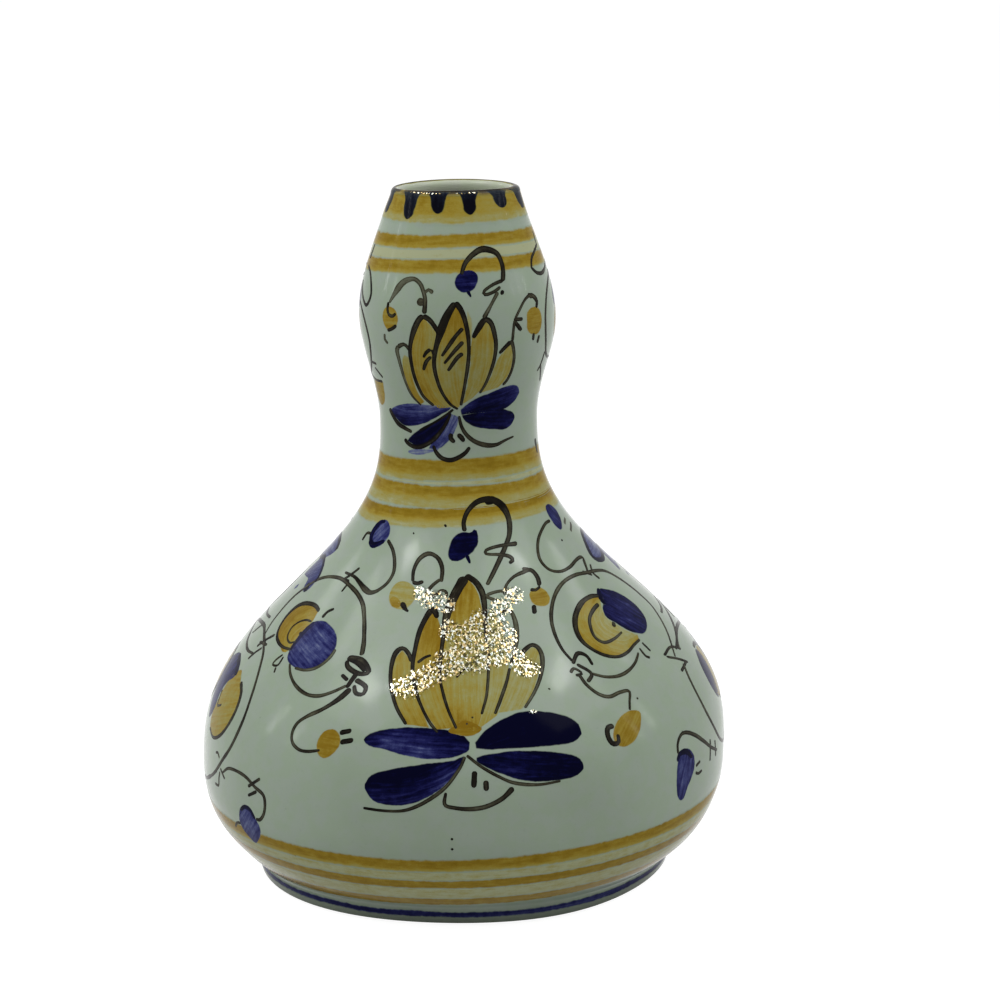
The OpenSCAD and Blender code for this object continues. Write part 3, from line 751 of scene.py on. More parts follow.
NECK_BLOOM = {
    "ochre": (
        petal("-9.9,7.2 -12.3,9.5 -13.9,12.8 -14.9,16.5 -15.1,19.5 -14.2,21.2",
              "-8.5,8.2 -10.3,10.5 -11.6,14 -12.2,17.5 -12.4,20 -14.2,21.2", (0.7, 0.6, 0.3)),
        petal("5.2,10.4 6.5,12 8.2,14.8 9.8,18.8 11.8,21.5 14.8,24.2",
              "10.6,11.6 13,13.8 14.4,16.3 15,19 15.1,22 14.8,24.2", (0.35, 0.42, 0.5)),
        petal("-5,6.4 -8.4,9 -10.7,13.5 -11.8,17.5 -12.2,22 -11.7,25.5 -10.4,29 -8.3,31.2",
              "-1,6.8 -3.0,9 -4.7,12.5 -5.6,16 -5.9,20 -5.4,24 -5,27 -8.3,31.2",
              (0.45, 0.55, 0.62, 0.5, 0.6), 0.0, -0.1),
        petal("0.8,7.4 1.9,12 2.6,16 3.0,20 3.2,24 3.9,27 5.2,28.7 7.2,30.2",
              "3.8,9.4 6.8,12.6 8.3,16.3 9.4,20 9.8,23.5 9.4,26.5 8.6,28.8 7.2,30.2",
              (0.4, 0.45, 0.55, 0.6)),
        petal("-0.5,6.4 -2.3,8 -4.2,11.5 -5.4,15 -6,19 -5.5,23 -4.3,27 -2.6,31 -0.3,34.8",
              "0.5,7 1.2,11 1.9,15 2.5,19 2.8,23 2.6,27 1.9,30.5 0.9,33 -0.3,34.8",
              (0.75, 0.45, 0.45, 0.5, 0.8, 0.9)),
        petal("3,23.5 2.8,27.5 2.4,30.5 2.6,33.5", "3.6,23.5 3.9,27.5 3.9,30.5 2.6,33.5", 0.25),
        pool("-21.4,30 -20.8,32.3 -19,33.3 -16.6,32.6 -15.7,30.3 -16.3,28 -18.2,26.8 -20.3,27.5", 0.66),
        pool("19.4,28.5 19.6,30.8 21.5,32 24.3,31.6 25.8,29.5 25.7,26.3 24,24.6 21.3,24.8 19.6,26.3", 0.72),
    ),
    "cobalt": (
        petal("-4.6,-3.4 -7,-4 -9.5,-4.2 -12,-4.4 -14.3,-5.2",
              "-5.4,-4.6 -7,-5.2 -9.5,-6 -12,-6.4 -14.3,-6", 0.2),
        petal("-2,5.4 -4.4,2.6 -6.2,-0.6 -8.4,-4.4",
              "0.2,4.6 -0.2,2 -2,-1.6 -5,-4.2 -8.4,-4.4", (0.35, 0.42, 0.45)),
        petal("-1.6,7 -4.5,7.7 -8,7.6 -12,7.7 -15.5,7.1 -18.5,6 -20.8,4.6",
              "-2.2,6.2 -5,4.4 -8,2.6 -12,1.2 -15.4,0.9 -18.6,2.6 -20.8,4.6", (0.55, 0.5, 0.62, 0.7), 0.0,
              0.26),
        petal("-1.8,6 -4.6,4.3 -8.5,2.1 -11.5,0.2 -13.6,-1.6 -14.5,-2.8",
              "-1.6,4.8 -3.4,1.8 -6,-1.4 -9.3,-3.6 -12,-3.9 -14.5,-2.8", (0.8, 0.95, 1.0)),
        petal("0.6,5.2 4,6 8,6.1 12,5.8 13.8,5 15,4.5 15.9,3.2",
              "0.9,4.2 1.8,2.8 3.8,1.4 6.8,0.6 9.8,0.1 12.2,-0.2 14.4,0.5 15.9,2.4", (0.95, 0.9, 0.8), 0.0,
              -0.06),
        petal("0.3,6.3 3,8.6 6,10 9,10.9 12,11.8 14.6,12.1 16.8,11.3 17.5,9.6",
              "0.6,4.6 4,4.9 8,4.9 12,5.2 13.8,5.8 15.9,7.1 17.5,9.2", (0.75, 0.85, 0.8, 0.55), 0.0, 0.14),
        pool("-0.6,40 0.2,42 2,43.1 4.3,43.1 5.6,41.9 5.7,40 4.8,38.2 3.2,37.3 1.5,37.2 0,38.3", 0.72),
        line("2.8,37.8 3.7,36.2", (1.2, 0.6), 0.95),
    ),
    "brown": (
        line("-9.8,7.2 -12.3,9.6 -14,12.8 -15.2,16.5 -16.1,20 -16.5,22 -15.9,23.2",
             (0.6, 0.9, 1.0, 1.2, 1.6), (0.7, 0.55, 0.5, 0.5)),
        line("-16.2,22.9 -14.3,23.8 -13,22.9 -12.4,22", (1.5, 1.0, 1.2), 0.75),
        line("-6.3,7.3 -9.1,9.8 -10.9,13.5 -12,17.5 -12.5,22 -11.9,25.5 -10.8,28.5 -9.6,30.6 -8.5,31.5",
             (0.9, 1.0, 1.1, 1.2, 1.4, 2.0, 1.8), (0.75, 0.8, 0.85, 0.95, 1)),
        line("-8.7,31.5 -6.8,30.4 -5.4,28.5 -4.2,26.8", (1.7, 1.4, 1.6), 0.95),
        line("-0.1,6.4 -2.2,8 -4.2,11.3 -5.4,15 -6,19 -5.5,23 -4.3,27 -2.7,31 -1.2,33.6 -0.3,34.9",
             (0.7, 1.0, 1.2, 1.2, 1.3, 1.7, 2.4, 2.2, 1.7), (0.75, 0.8, 0.85, 0.95, 1)),
        line("-0.4,35 0.9,33.3 2,30.5 2.7,27 2.9,23 2.6,19 2,15 1.3,11 0.6,7.4",
             (1.9, 1.5, 1.3, 1.2, 1.1, 1.0, 0.9), (1, 0.85, 0.7, 0.7)),
        line("4.0,25.8 5.5,28.2 7.2,30.3 8.6,29.5 9.5,27 10,23.5 9.5,19.8 8.4,16.3 7,13 5.5,10.6",
             (1.2, 1.9, 1.5, 1.3, 1.2, 1.1, 1.0, 0.8), (1, 0.95, 0.85, 0.75, 0.7, 0.6)),
        line("10.9,21.2 12.8,22.8 14.3,24", (0.9, 1.2, 1.6), 0.9),
        line("14.4,24.4 15.1,22 15.3,19 14.6,16 13.3,13.6 11.9,12.2", (1.4, 1.1, 0.9, 0.8),
             (0.8, 0.6, 0.6)),
        line("1.5,28.5 -0.5,26.3 -4,21.1", (1.3, 1.3, 0.9), 0.85),
        line("1.5,25 -0.5,22.8 -3.4,19.1", (1.4, 1.1, 0.8), 0.85),
        line("1.4,21.9 0,20.8 -2.5,17.1", (1.4, 1.2, 0.9), 0.85),
        line("-8.8,20.6 -8,22 -6.8,23", (0.8, 1.1, 1.3), 0.85),
        line("-6.7,21 -8,19.6 -8.9,17.1", (1.0, 1.3, 1.0), 0.85),
        line("-6.5,22.9 -6.1,21.4", 0.7, 0.8),
        line("0.1,4.6 0.6,2 1.8,-0.3 4,-2.3 7,-3.5 9.8,-3.7 12.5,-2.9 15.4,-2.3",
             (0.8, 1.0, 1.3, 1.4, 1.2, 0.8, 0.5), (0.8, 0.7, 0.6, 0.6)),
        line("-1.3,6.4 -3.5,4.6 -7,2.3 -10.5,0.3", 0.7, 0.95),
        line("-2,5.2 -3.6,2 -6.4,-1.6 -9.5,-3.6 -12,-4.1 -14.2,-3.4 -15.3,-2.4", (0.8, 1.2, 1.4, 1.3, 1.2),
             1.0),
        line("-21,4.9 -19.9,3.3 -17.6,1.3 -15,0.4 -12.8,-0.3", (1.6, 1.6, 1.4, 1.2, 0.9), (1, 0.95, 0.85)),
        line("-1.9,0 -2.2,-1.2 -1.1,-2.4", (1.4, 1.5, 1.1), 1.0),
        line("-0.3,-0.2 0.8,-1.4 1.2,-2.3", (1.3, 1.4, 1.1), 0.95),
        line("-6.7,-3.3 -6,-5 -4.5,-6.5 -2.3,-7 0,-6.2 1.7,-5 2.7,-3.7", (0.9, 1.2, 1.3, 1.2, 1.0), 0.9),
        line("1.4,41.9 1.8,43.4 2.6,45.1 4.5,47 6.7,48.1 9,47.7 11,46.5 12.2,44 12.5,41.5 12.3,39.5",
             (1.2, 1.3, 1.7, 1.9, 1.5, 1.3, 1.4, 1.5), (0.85, 0.85, 0.9, 0.8, 0.75)),
        line("12.4,39.8 9.6,39 7,37.4 7.4,36.6 9.6,37.1 11.6,38.2", (1.2, 0.9, 1.0, 0.9), 0.7),
        pool("11.4,36.8 12,37.5 12.7,37 12.4,36.2 11.7,36.1", 0.9),
        line("10.8,37 8.6,33.5 6.8,30.6", (1.3, 1.0, 1.3), (0.6, 0.55, 0.7)),
        line("-19,34.2 -19.3,32.3 -18.8,31 -17.5,30.8 -16.5,31.6", (0.8, 1.1, 1.2, 0.9), 0.8),
        line("-19.5,26.9 -17.8,27.6 -16.4,28.6", 1.1, 0.9),
        line("-20.6,25.9 -20.6,24.4 -19.5,23.4", 0.9, 0.4),
        line("-18.7,34 -16.8,36.6 -14.8,39 -13,40.2 -10.8,40.6 -9.2,39.4 -8.4,37.5 -8,35.5 -8.3,32",
             (0.7, 1.2, 2.0, 1.7, 1.3, 1.4, 1.3, 1.2, 1.4), (0.5, 0.45, 0.4, 0.45, 0.5, 0.7, 0.9)),
        line("-8.2,37.2 -7,38.1 -5.9,37.3", (0.9, 1.0, 1.5), 0.5),
        pool("-10.4,35 -9.6,36.1 -8.3,35.8 -8.2,34.4 -9.2,33.8 -10.2,34.2", 0.5),
        line("22.2,25.2 22,23.2", 1.1, 0.8),
        line("24.6,24.2 23.8,22.2", 1.0, 0.75),
        line("23.5,31.4 23.9,33 22.8,34.3 21.3,35 19.3,34.2 17.2,31.8 15.6,29.3 15.1,26.5 14.8,24",
             (1.2, 1.3, 1.1, 0.9, 0.9, 0.8, 0.9, 1.0), (0.9, 0.75, 0.6, 0.6, 0.7)),
        line("20.3,35.4 22,34.3", 1.1, 0.7),
        line("15.3,29.6 18.2,29.4", 1.1, 0.8),
        line("15.6,29 17.7,26.5", 1.2, 0.8),
    ),
}

NECK_RIGHT = {
    "brown": (
        line("6,46.8 2.5,45.5 -0.5,44 -1.8,42 -1.8,41.5 0,40 3,39.5 6.5,40.3 9,41 12,41.6",
             (0.8, 1.0, 1.1, 0.8), 0.75),
        line("5.5,47 6.5,50", 0.9, 0.8),
        line("12,38.8 9,38 6,36.8 3,34.3 1.3,31.5 0.5,28.5 0.8,25 1.8,21.5 3.3,18.5 6,16.8 9,16.4",
             (0.9, 1.0, 1.1, 0.8), 0.75),
        line("2.3,19 1.5,15.5 0.3,14", 0.8, 0.7),
        line("1.5,15.5 3.3,12.5 4.5,10.5", 0.8, 0.7),
        line("4,-5 4.6,-7 5,-9", (1.4, 1.8, 1.2), 0.9),
    ),
    "ochre": (
        pool("8,22.5 11,21.4 14,22.6 15.4,25.4 14.6,28.8 12,30.4 8.8,29.6 7.2,26.6", 0.7),
    ),
    "cobalt": (
        pool("8.6,30 11.6,31 14.6,30.2 16.6,32.6 15.4,35.4 12.4,36.6 9.4,35.4 7.8,32.6", 0.75, 0.15, 30),
    ),
}

NECK_LEFT = {
    "brown": (
        line("-7,41.8 -4,40.3 -1.8,37.5 -1,35 -2,32.8 -3.5,32 -6,33.3 -8.5,35.5 -10,37.5",
             (0.9, 1.0, 1.1, 0.8), 0.8),
        line("-6.5,47.5 -7.5,43.5", (1.0, 1.4), 0.9),
        line("-10,32.2 -7,30.8 -4.5,28.5 -2.8,25.5 -2.3,22.5 -3.3,19 -5.5,15.5 -8.5,13.3 -12,12.6",
             (0.8, 1.1, 1.1, 0.8), 0.8),
        line("-5,16.8 -1,16.8", 0.8, 0.7),
        line("-2.5,15.5 0.8,13.3", 0.8, 0.7),
        line("-10.5,12.8 -4.5,11.8 0,12", 0.9, 0.8),
    ),
    "ochre": (
        pool("-5.5,12 -2,12.4 0.3,12.2 0,10 -0.5,7.5 -2,5.5 -4.5,4.6 -6.8,6 -7.4,9", 0.7),
    ),
}


# Finishes

GLAZE_SHINE = 0.10
PAINT_SHINE = 0.02

# How much the paint is thicker and thinner in clouds and in speckles
CLOUDY, SPECKLED = 0.45, 0.18


class Tone:
    """A shader value that adds, takes away and multiplies like a number."""

    def __init__(self, finish, socket):
        self.finish, self.socket = finish, socket

    def beside(self, name):
        """Another output of the same node."""
        return Tone(self.finish, self.socket.node.outputs[name])

    def join(self, operation, first, second):
        """The result of a maths node."""
        return self.finish.node("ShaderNodeMath", {"operation": operation}, {0: first, 1: second})

    def __add__(self, other):
        return self.join("ADD", self, other)

    def __radd__(self, other):
        return self.join("ADD", other, self)

    def __sub__(self, other):
        return self.join("SUBTRACT", self, other)

    def __rsub__(self, other):
        return self.join("SUBTRACT", other, self)

    def __mul__(self, other):
        return self.join("MULTIPLY", self, other)

    def __rmul__(self, other):
        return self.join("MULTIPLY", other, self)


class Finish:
    """The node tree of one material, or of the world."""

    def __init__(self, name, owner=None):
        self.owner = owner or bpy.data.materials.new(name)
        self.owner.use_nodes = True
        self.tree = self.owner.node_tree
        self.tree.nodes.clear()

    def node(self, kind, settings=None, sockets=None, out=0):
        """Adds a node: its settings first, then the values or links of its sockets."""
        made = self.tree.nodes.new(kind)
        for key, value in (settings or {}).items():
            if key == "stops":
                stops = made.color_ramp.elements
                while len(stops) < len(value):
                    stops.new(0.5)
                for stop, (spot, colour) in zip(stops, value):
                    stop.position = spot
                    stop.color = (*colour, 1)
            else:
                setattr(made, key, value)
        for key, value in (sockets or {}).items():
            if isinstance(value, Tone):
                self.tree.links.new(value.socket, made.inputs[key])
            else:
                made.inputs[key].default_value = value
        return Tone(self, made.outputs[out]) if len(made.outputs) else None

    def attribute(self, name):
        """What the points of a piece say under a name."""
        return self.node("ShaderNodeAttribute", {"attribute_name": name}, out="Vector")

    def shown_rays(self):
        """1 for the rays that see the background: those of the camera, of gloss and through glass."""
        camera = self.node("ShaderNodeLightPath", out="Is Camera Ray")
        return camera + camera.beside("Is Glossy Ray") + camera.beside("Is Transmission Ray")

    def place(self):
        """The place on the vase, in millimetres."""
        spot = self.node("ShaderNodeTexCoord", out="Object")
        return self.node("ShaderNodeVectorMath", {"operation": "SCALE"}, {0: spot, "Scale": 1 / MM})

    def vector(self, operation, first, second, out=0):
        """The result of a vector maths node."""
        return self.node("ShaderNodeVectorMath", {"operation": operation}, {0: first, 1: second}, out)

    def stretched(self, vector, x, y, z):
        """A vector with its parts scaled."""
        return self.vector("MULTIPLY", vector, (x, y, z))

    def noise(self, vector, scale, detail=2.0, rough=0.5, distortion=0.0):
        """Soft noise from 0 to 1."""
        sockets = {"Vector": vector, "Scale": scale, "Detail": detail}
        sockets.update({"Roughness": rough, "Distortion": distortion})
        return self.node("ShaderNodeTexNoise", {"noise_dimensions": "3D"}, sockets)

    def ease(self, value, low, high, start=0.0, end=1.0):
        """A soft step of a value between low and high."""
        return self.node(
            "ShaderNodeMapRange",
            {"interpolation_type": "SMOOTHSTEP"},
            {"Value": value, "From Min": low, "From Max": high, "To Min": start, "To Max": end},
        )

    def mix(self, factor, first, second):
        """A mix of two colours."""
        first, second = (c if isinstance(c, Tone) else (*c, 1) for c in (first, second))
        settings = {"data_type": "RGBA", "blend_type": "MIX", "clamp_factor": True}
        return self.node("ShaderNodeMix", settings, {0: factor, 6: first, 7: second}, out=2)

    def ramp(self, value, stops):
        """The colour of a value, blended between the stops."""
        return self.node("ShaderNodeValToRGB", {"stops": stops}, {0: value})

    def skin(self, sockets, bump=None):
        """The glossy surface: its sockets, and a bump height in millimetres."""
        if bump is not None:
            relief = {"Strength": 1.0, "Distance": MM, "Height": bump}
            sockets["Normal"] = self.node("ShaderNodeBump", {}, relief)
        surface = self.node("ShaderNodeBsdfPrincipled", {}, sockets)
        self.node("ShaderNodeOutputMaterial", {}, {0: surface})
        return self.owner


def scaled(colour, *shares):
    """A colour with each of its channels scaled."""
    return tuple(min(1.0, c * k) for c, k in zip(colour, shares))


def glaze_colour(f, place, base):
    """The white glaze: greyish, a little cloudy and blotched, with faint dust and sparse dark specks, and
    painted shade that darkens it towards the floor.
    """
    pale, dull = scaled(base, 1.07, 1.07, 1.07), scaled(base, 0.94, 0.94, 0.93)
    green, rose = scaled(base, 0.96, 1.0, 0.90), scaled(base, 1.02, 0.99, 1.05)
    cloud = f.noise(place, 0.035, 3.0)
    tint = f.mix(f.ease(cloud, 0.35, 0.65), dull, pale)
    blotch = f.mix(f.ease(f.noise(place, 0.24, 2.0), 0.38, 0.62), green, rose)
    tint = f.mix(0.5, tint, blotch)
    dust = f.noise(place, 1.3, 2.0)
    tint = f.mix(f.ease(dust, 0.58, 0.80, 0.0, 0.12), tint, scaled(base, 0.55, 0.55, 0.55))
    # Painted shade: the glaze grows darker below 4.4 mm, towards the floor
    height = f.node("ShaderNodeSeparateXYZ", {}, {0: place}, out="Z")
    tint = f.mix(f.ease(height, 4.4, 1.2, 0.0, 0.62), tint, scaled(base, 0.30, 0.28, 0.28))
    cell = f.node("ShaderNodeTexVoronoi", {"feature": "F1"}, {"Vector": place, "Scale": 0.11})
    chance = f.noise(place, 0.06, 0.0)
    speck = f.ease(cell, 0.045, 0.015) * f.ease(chance, 0.50, 0.56)
    return f.mix(speck * 0.75, tint, (0.035, 0.035, 0.03))


# Painted highlights: spots on the front bloom and the lip where a lamp's reflection is painted in as glints
# over a coarse bump: x, z, half width and half height in millimetres
PAINTED_GLINT_SPOTS = (
    (-14.2, 63.0, 4.3, 2.3),
    (-10.4, 64.9, 3.5, 2.4),
    (-6.1, 66.5, 3.9, 2.3),
    (-3.2, 68.6, 4.2, 3.0),
    (2.5, 69.2, 5.8, 3.4),
    (2.1, 73.5, 5.0, 3.8),
    (4.8, 77.0, 2.7, 2.5),
    (-3.6, 75.0, 2.2, 5.6),
    (-3.8, 79.8, 2.1, 2.6),
    (-7.3, 81.0, 3.5, 2.1),
    (-10.4, 82.1, 2.0, 2.1),
    (8.6, 70.5, 4.4, 3.7),
    (8.4, 75.0, 3.1, 3.3),
    (9.4, 79.0, 3.1, 2.2),
    (12.8, 81.2, 2.8, 2.1),
    (11.3, 73.4, 2.6, 2.5),
    (13.1, 68.6, 2.8, 2.4),
    (15.8, 66.3, 3.3, 2.0),
    (-7.4, 180.75, 4.4, 0.2),
    (3.2, 180.8, 2.8, 0.18),
    (16.9, 57.4, 1.2, 0.4),
)

# Colours of the painted glints, from gold to grey
PAINTED_GLINT_TINTS = (
    (0.36, (0.42, 0.30, 0.13)),
    (0.46, (0.55, 0.48, 0.30)),
    (0.56, (0.62, 0.60, 0.50)),
    (0.66, (0.40, 0.45, 0.42)),
)


def painted_glint_field(f, place):
    """How much a place lies in the zone of painted glints, from 0 to 1."""
    total = 0.0
    for x, z, wide, tall in PAINTED_GLINT_SPOTS:
        near = -math.sqrt(float(outside(min(z, LIP_Z))) ** 2 - x**2)
        away = f.stretched(f.vector("SUBTRACT", place, (x, near, z)), 1 / wide, 1 / wide, 1 / tall)
        away = f.node("ShaderNodeVectorMath", {"operation": "LENGTH"}, {0: away}, out="Value")
        total = total + f.ease(away, 1.45, 0.55)
    return total


def painted_glints(f, place):
    """Painted highlights: bright slivers, and painted shade in the dark gaps between them, laid in the
    glint zone as a painted reflection of a lamp.
    """
    glint_share = f.ease(painted_glint_field(f, place), 0.0, 0.9)
    sliver = f.noise(f.stretched(place, 1.0, 1.0, 0.34), 1.75, 1.2, 0.6, 0.4)
    bright = f.ease(sliver + glint_share * 0.16, 0.675, 0.705) * f.ease(glint_share, 0.05, 0.25)
    dark = f.ease(f.noise(f.stretched(place, 1.0, 1.0, 0.6), 1.7, 1.0), 0.54, 0.42) * glint_share * 0.8
    return glint_share, bright, dark, f.ramp(f.noise(place, 0.9, 1.0), PAINTED_GLINT_TINTS)


def wavy(f, place, glint_share):
    """Height of the glaze: long soft waves, a fine skin, and coarse grains in the zone of painted glints.
    """
    waves = f.noise(place, 0.07, 1.0) * 0.12 + f.noise(place, 0.5, 1.0) * 0.006
    return waves + f.noise(place, 1.5, 1.0) * 0.2 * glint_share


def fired(f, place, colour, rough, shine):
    """The finish of what lies in the glaze: gloss over a colour, with the painted glints: metallic slivers
    as painted highlights and darkened gaps as painted shade.
    """
    glint_share, bright, dark, tint = painted_glints(f, place)
    # Painted shade in the gaps between the painted glints
    colour = f.mix(dark, colour, (0.02, 0.018, 0.012))
    # Painted highlight: the slivers take the glint colours and shine as metal
    sockets = {
        "Base Color": f.mix(bright, colour, tint),
        "Metallic": bright,
        "Roughness": f.noise(place, 0.4, 2.0) * 0.08 + rough + bright * 0.15,
        "IOR": 1.5,
        "Specular IOR Level": shine,
    }
    return f.skin(sockets, wavy(f, place, glint_share))


def glaze_finish(colours):
    """The white glaze outside and in the hollow under the base."""
    f = Finish("white_tin_glaze")
    place = f.place()
    return fired(f, place, glaze_colour(f, place, colours.glaze), 0.11, GLAZE_SHINE)


def lining_finish(colours):
    """The glaze inside, written paler than the outer glaze as painted light in the mouth."""
    f = Finish("white_tin_lining")
    place = f.place()
    colour = glaze_colour(f, place, colours.lining)
    return f.skin({"Base Color": colour, "Roughness": 0.2, "Specular IOR Level": GLAZE_SHINE})


# The paints: material, how fine the brush streaks are along and across it, how strong they are, and the
# colours from a thin wash to a thick pool. Each colour is written out, or scaled from a named one
PAINTS = {
    "ochre": ("ochre_brushed", (0.10, 1.3), 0.8, (
        (0.0, "glaze", 1.08, 1.0, 0.8),
        (0.22, "ochre", 1.05, 1.42, 4.2),
        (0.42, "ochre", 1.0, 1.20, 2.1),
        (0.62, "ochre", 1.0, 1.0, 1.0),
        (0.82, "ochre", 0.81, 0.71, 0.42),
        (1.0, "ochre", 0.70, 0.56, 0.25),
    )),
    "ochre_band": ("ochre_banded", (1.0, 1.1), 0.62, (
        (0.0, "glaze", 1.30, 1.13, 0.87),
        (0.22, "ochre", 1.12, 1.44, 3.6),
        (0.42, "ochre", 1.10, 1.26, 2.0),
        (0.62, "ochre", 1.10, 1.12, 1.05),
        (0.82, "ochre", 0.92, 0.83, 0.48),
        (1.0, "ochre", 0.72, 0.62, 0.25),
    )),
    "cobalt": ("cobalt_brushed", (0.12, 1.3), 0.9, (
        (0.0, "glaze", 0.80, 0.80, 1.05),
        (0.2, None, 0.085, 0.10, 0.19),
        (0.42, None, 0.030, 0.036, 0.115),
        (0.62, None, 0.009, 0.010, 0.062),
        (0.82, "cobalt", 1.0, 1.0, 1.0),
        (1.0, "cobalt", 0.3, 0.3, 0.36),
    )),
    "drop": ("cobalt_drops", (0.16, 1.3), 0.5, (
        (0.1, "ochre", 0.9, 0.95, 1.3),
        (0.34, None, 0.070, 0.068, 0.040),
        (0.54, None, 0.022, 0.028, 0.034),
        (0.76, None, 0.006, 0.008, 0.015),
        (1.0, None, 0.002, 0.002, 0.005),
    )),
    "brown": ("brown_liner", (0.25, 1.4), 0.8, (
        (0.15, None, 0.085, 0.090, 0.062),
        (0.42, None, 0.042, 0.040, 0.025),
        (0.72, "brown", 1.0, 1.0, 1.0),
        (1.0, "brown", 0.35, 0.35, 0.4),
    )),
    "lip": ("umber_smeared", (1.0, 1.2), 0.5, (
        (0.0, "glaze", 1.05, 1.0, 0.7),
        (0.28, "ochre", 0.9, 0.95, 1.6),
        (0.5, None, 0.075, 0.062, 0.036),
        (0.85, None, 0.014, 0.012, 0.010),
    )),
}

# What the drops and the lip's line are painted over, and how much thinner a brown line is in its middle
GROUNDS = {"drop": ("ochre", 0.8, 0.95, 1.3), "lip": ("ochre", 0.9, 1.1, 1.9)}
LINE_HOLLOW = 0.22


def tinted(colours, source, *shares):
    """A colour as it is written out, or scaled from a named one."""
    return scaled(getattr(colours, source), *shares) if source else shares


def ground_colour(f, place, kind, colours):
    """What a paint lies on: the white glaze, or other paint."""
    if kind in GROUNDS:
        return tinted(colours, *GROUNDS[kind])
    return glaze_colour(f, place, colours.glaze)


def paint_finish(kind, colours):
    """Brushed paint under the glaze. It fades into its ground at the edges, apart from the brown lines."""
    name, streaks, streaky, stops = PAINTS[kind]
    f = Finish(name)
    place = f.place()
    brush = f.node("ShaderNodeSeparateXYZ", {}, {0: f.attribute("brush")}, out="X")
    edge, load, seed = (brush.beside(axis) for axis in "XYZ")
    shift = f.node("ShaderNodeCombineXYZ", {}, {2: seed})
    drawn = f.vector("ADD", f.stretched(f.attribute("grain"), *streaks, streaks[0]), shift)
    streak = f.noise(drawn, 1.0, 3.0, 0.6)
    cloud = f.noise(place, 0.5, 3.0, 0.6)
    speckle = f.noise(place, 3.2, 1.0)
    paint = load + (streak - 0.5) * streaky + (cloud - 0.5) * CLOUDY + (speckle - 0.5) * SPECKLED
    if kind == "brown":
        paint = paint - f.ease(edge, 1.4, 4.0, 0.0, LINE_HOLLOW)
    colour = f.ramp(paint, [(spot, tinted(colours, *tint)) for spot, *tint in stops])
    if kind != "brown":
        cover = f.ease(edge + (cloud - 0.5) * 1.2, 0.12, 1.0)
        colour = f.mix(cover, ground_colour(f, place, kind, colours), colour)
    return fired(f, place, colour, 0.08, PAINT_SHINE)


def clay_finish(colours):
    """Bare fired clay: matt and sandy, with darker grit."""
    f = Finish("bare_clay")
    place = f.place()
    dull, pale = scaled(colours.clay, 0.78, 0.74, 0.7), scaled(colours.clay, 1.12, 1.1, 1.08)
    sand = f.noise(place, 2.2, 4.0, 0.7)
    grit = f.noise(place, 0.9, 1.0)
    colour = f.mix(f.ease(sand, 0.35, 0.7), dull, pale)
    colour = f.mix(f.ease(grit, 0.66, 0.72, 0.0, 0.7), colour, scaled(colours.clay, 0.4, 0.36, 0.34))
    rings = f.noise(f.stretched(place, 0.02, 0.02, 1.1), 1.0, 2.0)
    sockets = {"Base Color": colour, "Roughness": f.ease(sand, 0.3, 0.7, 0.78, 0.92)}
    return f.skin(sockets, sand * 0.05 + rings * 0.1)


MAKERS = {"glaze": glaze_finish, "lining": lining_finish, "clay": clay_finish}
FINISHES = {}


def finish(kind, context):
    """One material of each kind, made when it is first asked for."""
    if kind not in FINISHES:
        colours = context.scene.vase_colours
        FINISHES[kind] = paint_finish(kind, colours) if kind in PAINTS else MAKERS[kind](colours)
    return FINISHES[kind]


# Turned pieces

# Rows of the turned pieces: round the vase, up the foot, skin and lining, over the lip, and on the floor
AROUND = 288
FOOT_ROWS, SKIN_ROWS, LINING_ROWS = 5, 150, 120
LIP_ROWS, FLOOR_ROWS = 9, 14
AROUND_PHI = np.linspace(0, TURN, AROUND, endpoint=False)[:, None]


def turned(coat, front, back):
    """Adds a closed turned sheet. front and back are its two outlines as radius and height."""
    r, z = front
    step, out, up = facing(r, z)
    top, under = thrown(spun(r, AROUND_PHI, z)), thrown(spun(back[0], AROUND_PHI, back[1]))
    around_share = MARGIN + TURN_SHARE * AROUND_PHI / TURN
    flat = np.stack(np.broadcast_arrays(around_share, MARGIN + SHARE * step / step[-1]), -1)
    plain = np.zeros(top.shape)
    coat.sheet(top, spun(out, AROUND_PHI, up), under, plain, plain, flat, ring=True)


def lip_arc(bend):
    """Radii and heights over the lip's glaze."""
    return LIP_MID + LIP_R * np.cos(bend), LIP_Z + LIP_R * np.sin(bend)


def clay_lip_arc(bend):
    """Radii and heights over the lip's clay."""
    return CLAY_LIP_MID + CLAY_LIP_R * np.cos(bend), LIP_Z + CLAY_LIP_R * np.sin(bend)


def skin_outline():
    """Outside and clay side of the outer glaze, with the same number of rows."""
    low = np.linspace(BARE_H, FOOT_H, FOOT_ROWS)[:-1]
    z = np.concatenate([low, np.linspace(FOOT_H, LIP_Z, SKIN_ROWS)])
    bend = np.linspace(0, math.pi / 2, LIP_ROWS)[1:]
    sides = ((outside(z), lip_arc(bend)), (outside(z) - GLAZE_T * lean(z), clay_lip_arc(bend)))
    return [(np.concatenate([r, arc[0]]), np.concatenate([z, arc[1]])) for r, arc in sides]


def clay_inside(z):
    """Radius of the clay's inside at the heights z."""
    thinner = (LIP_WALL - CLAY_WALL) * (z - BULB_Z) / (LIP_Z - BULB_Z)
    clay = np.where(z <= BULB_Z, CLAY_WALL, CLAY_WALL + thinner)
    return outside(z) - (GLAZE_T + clay) * lean(z)


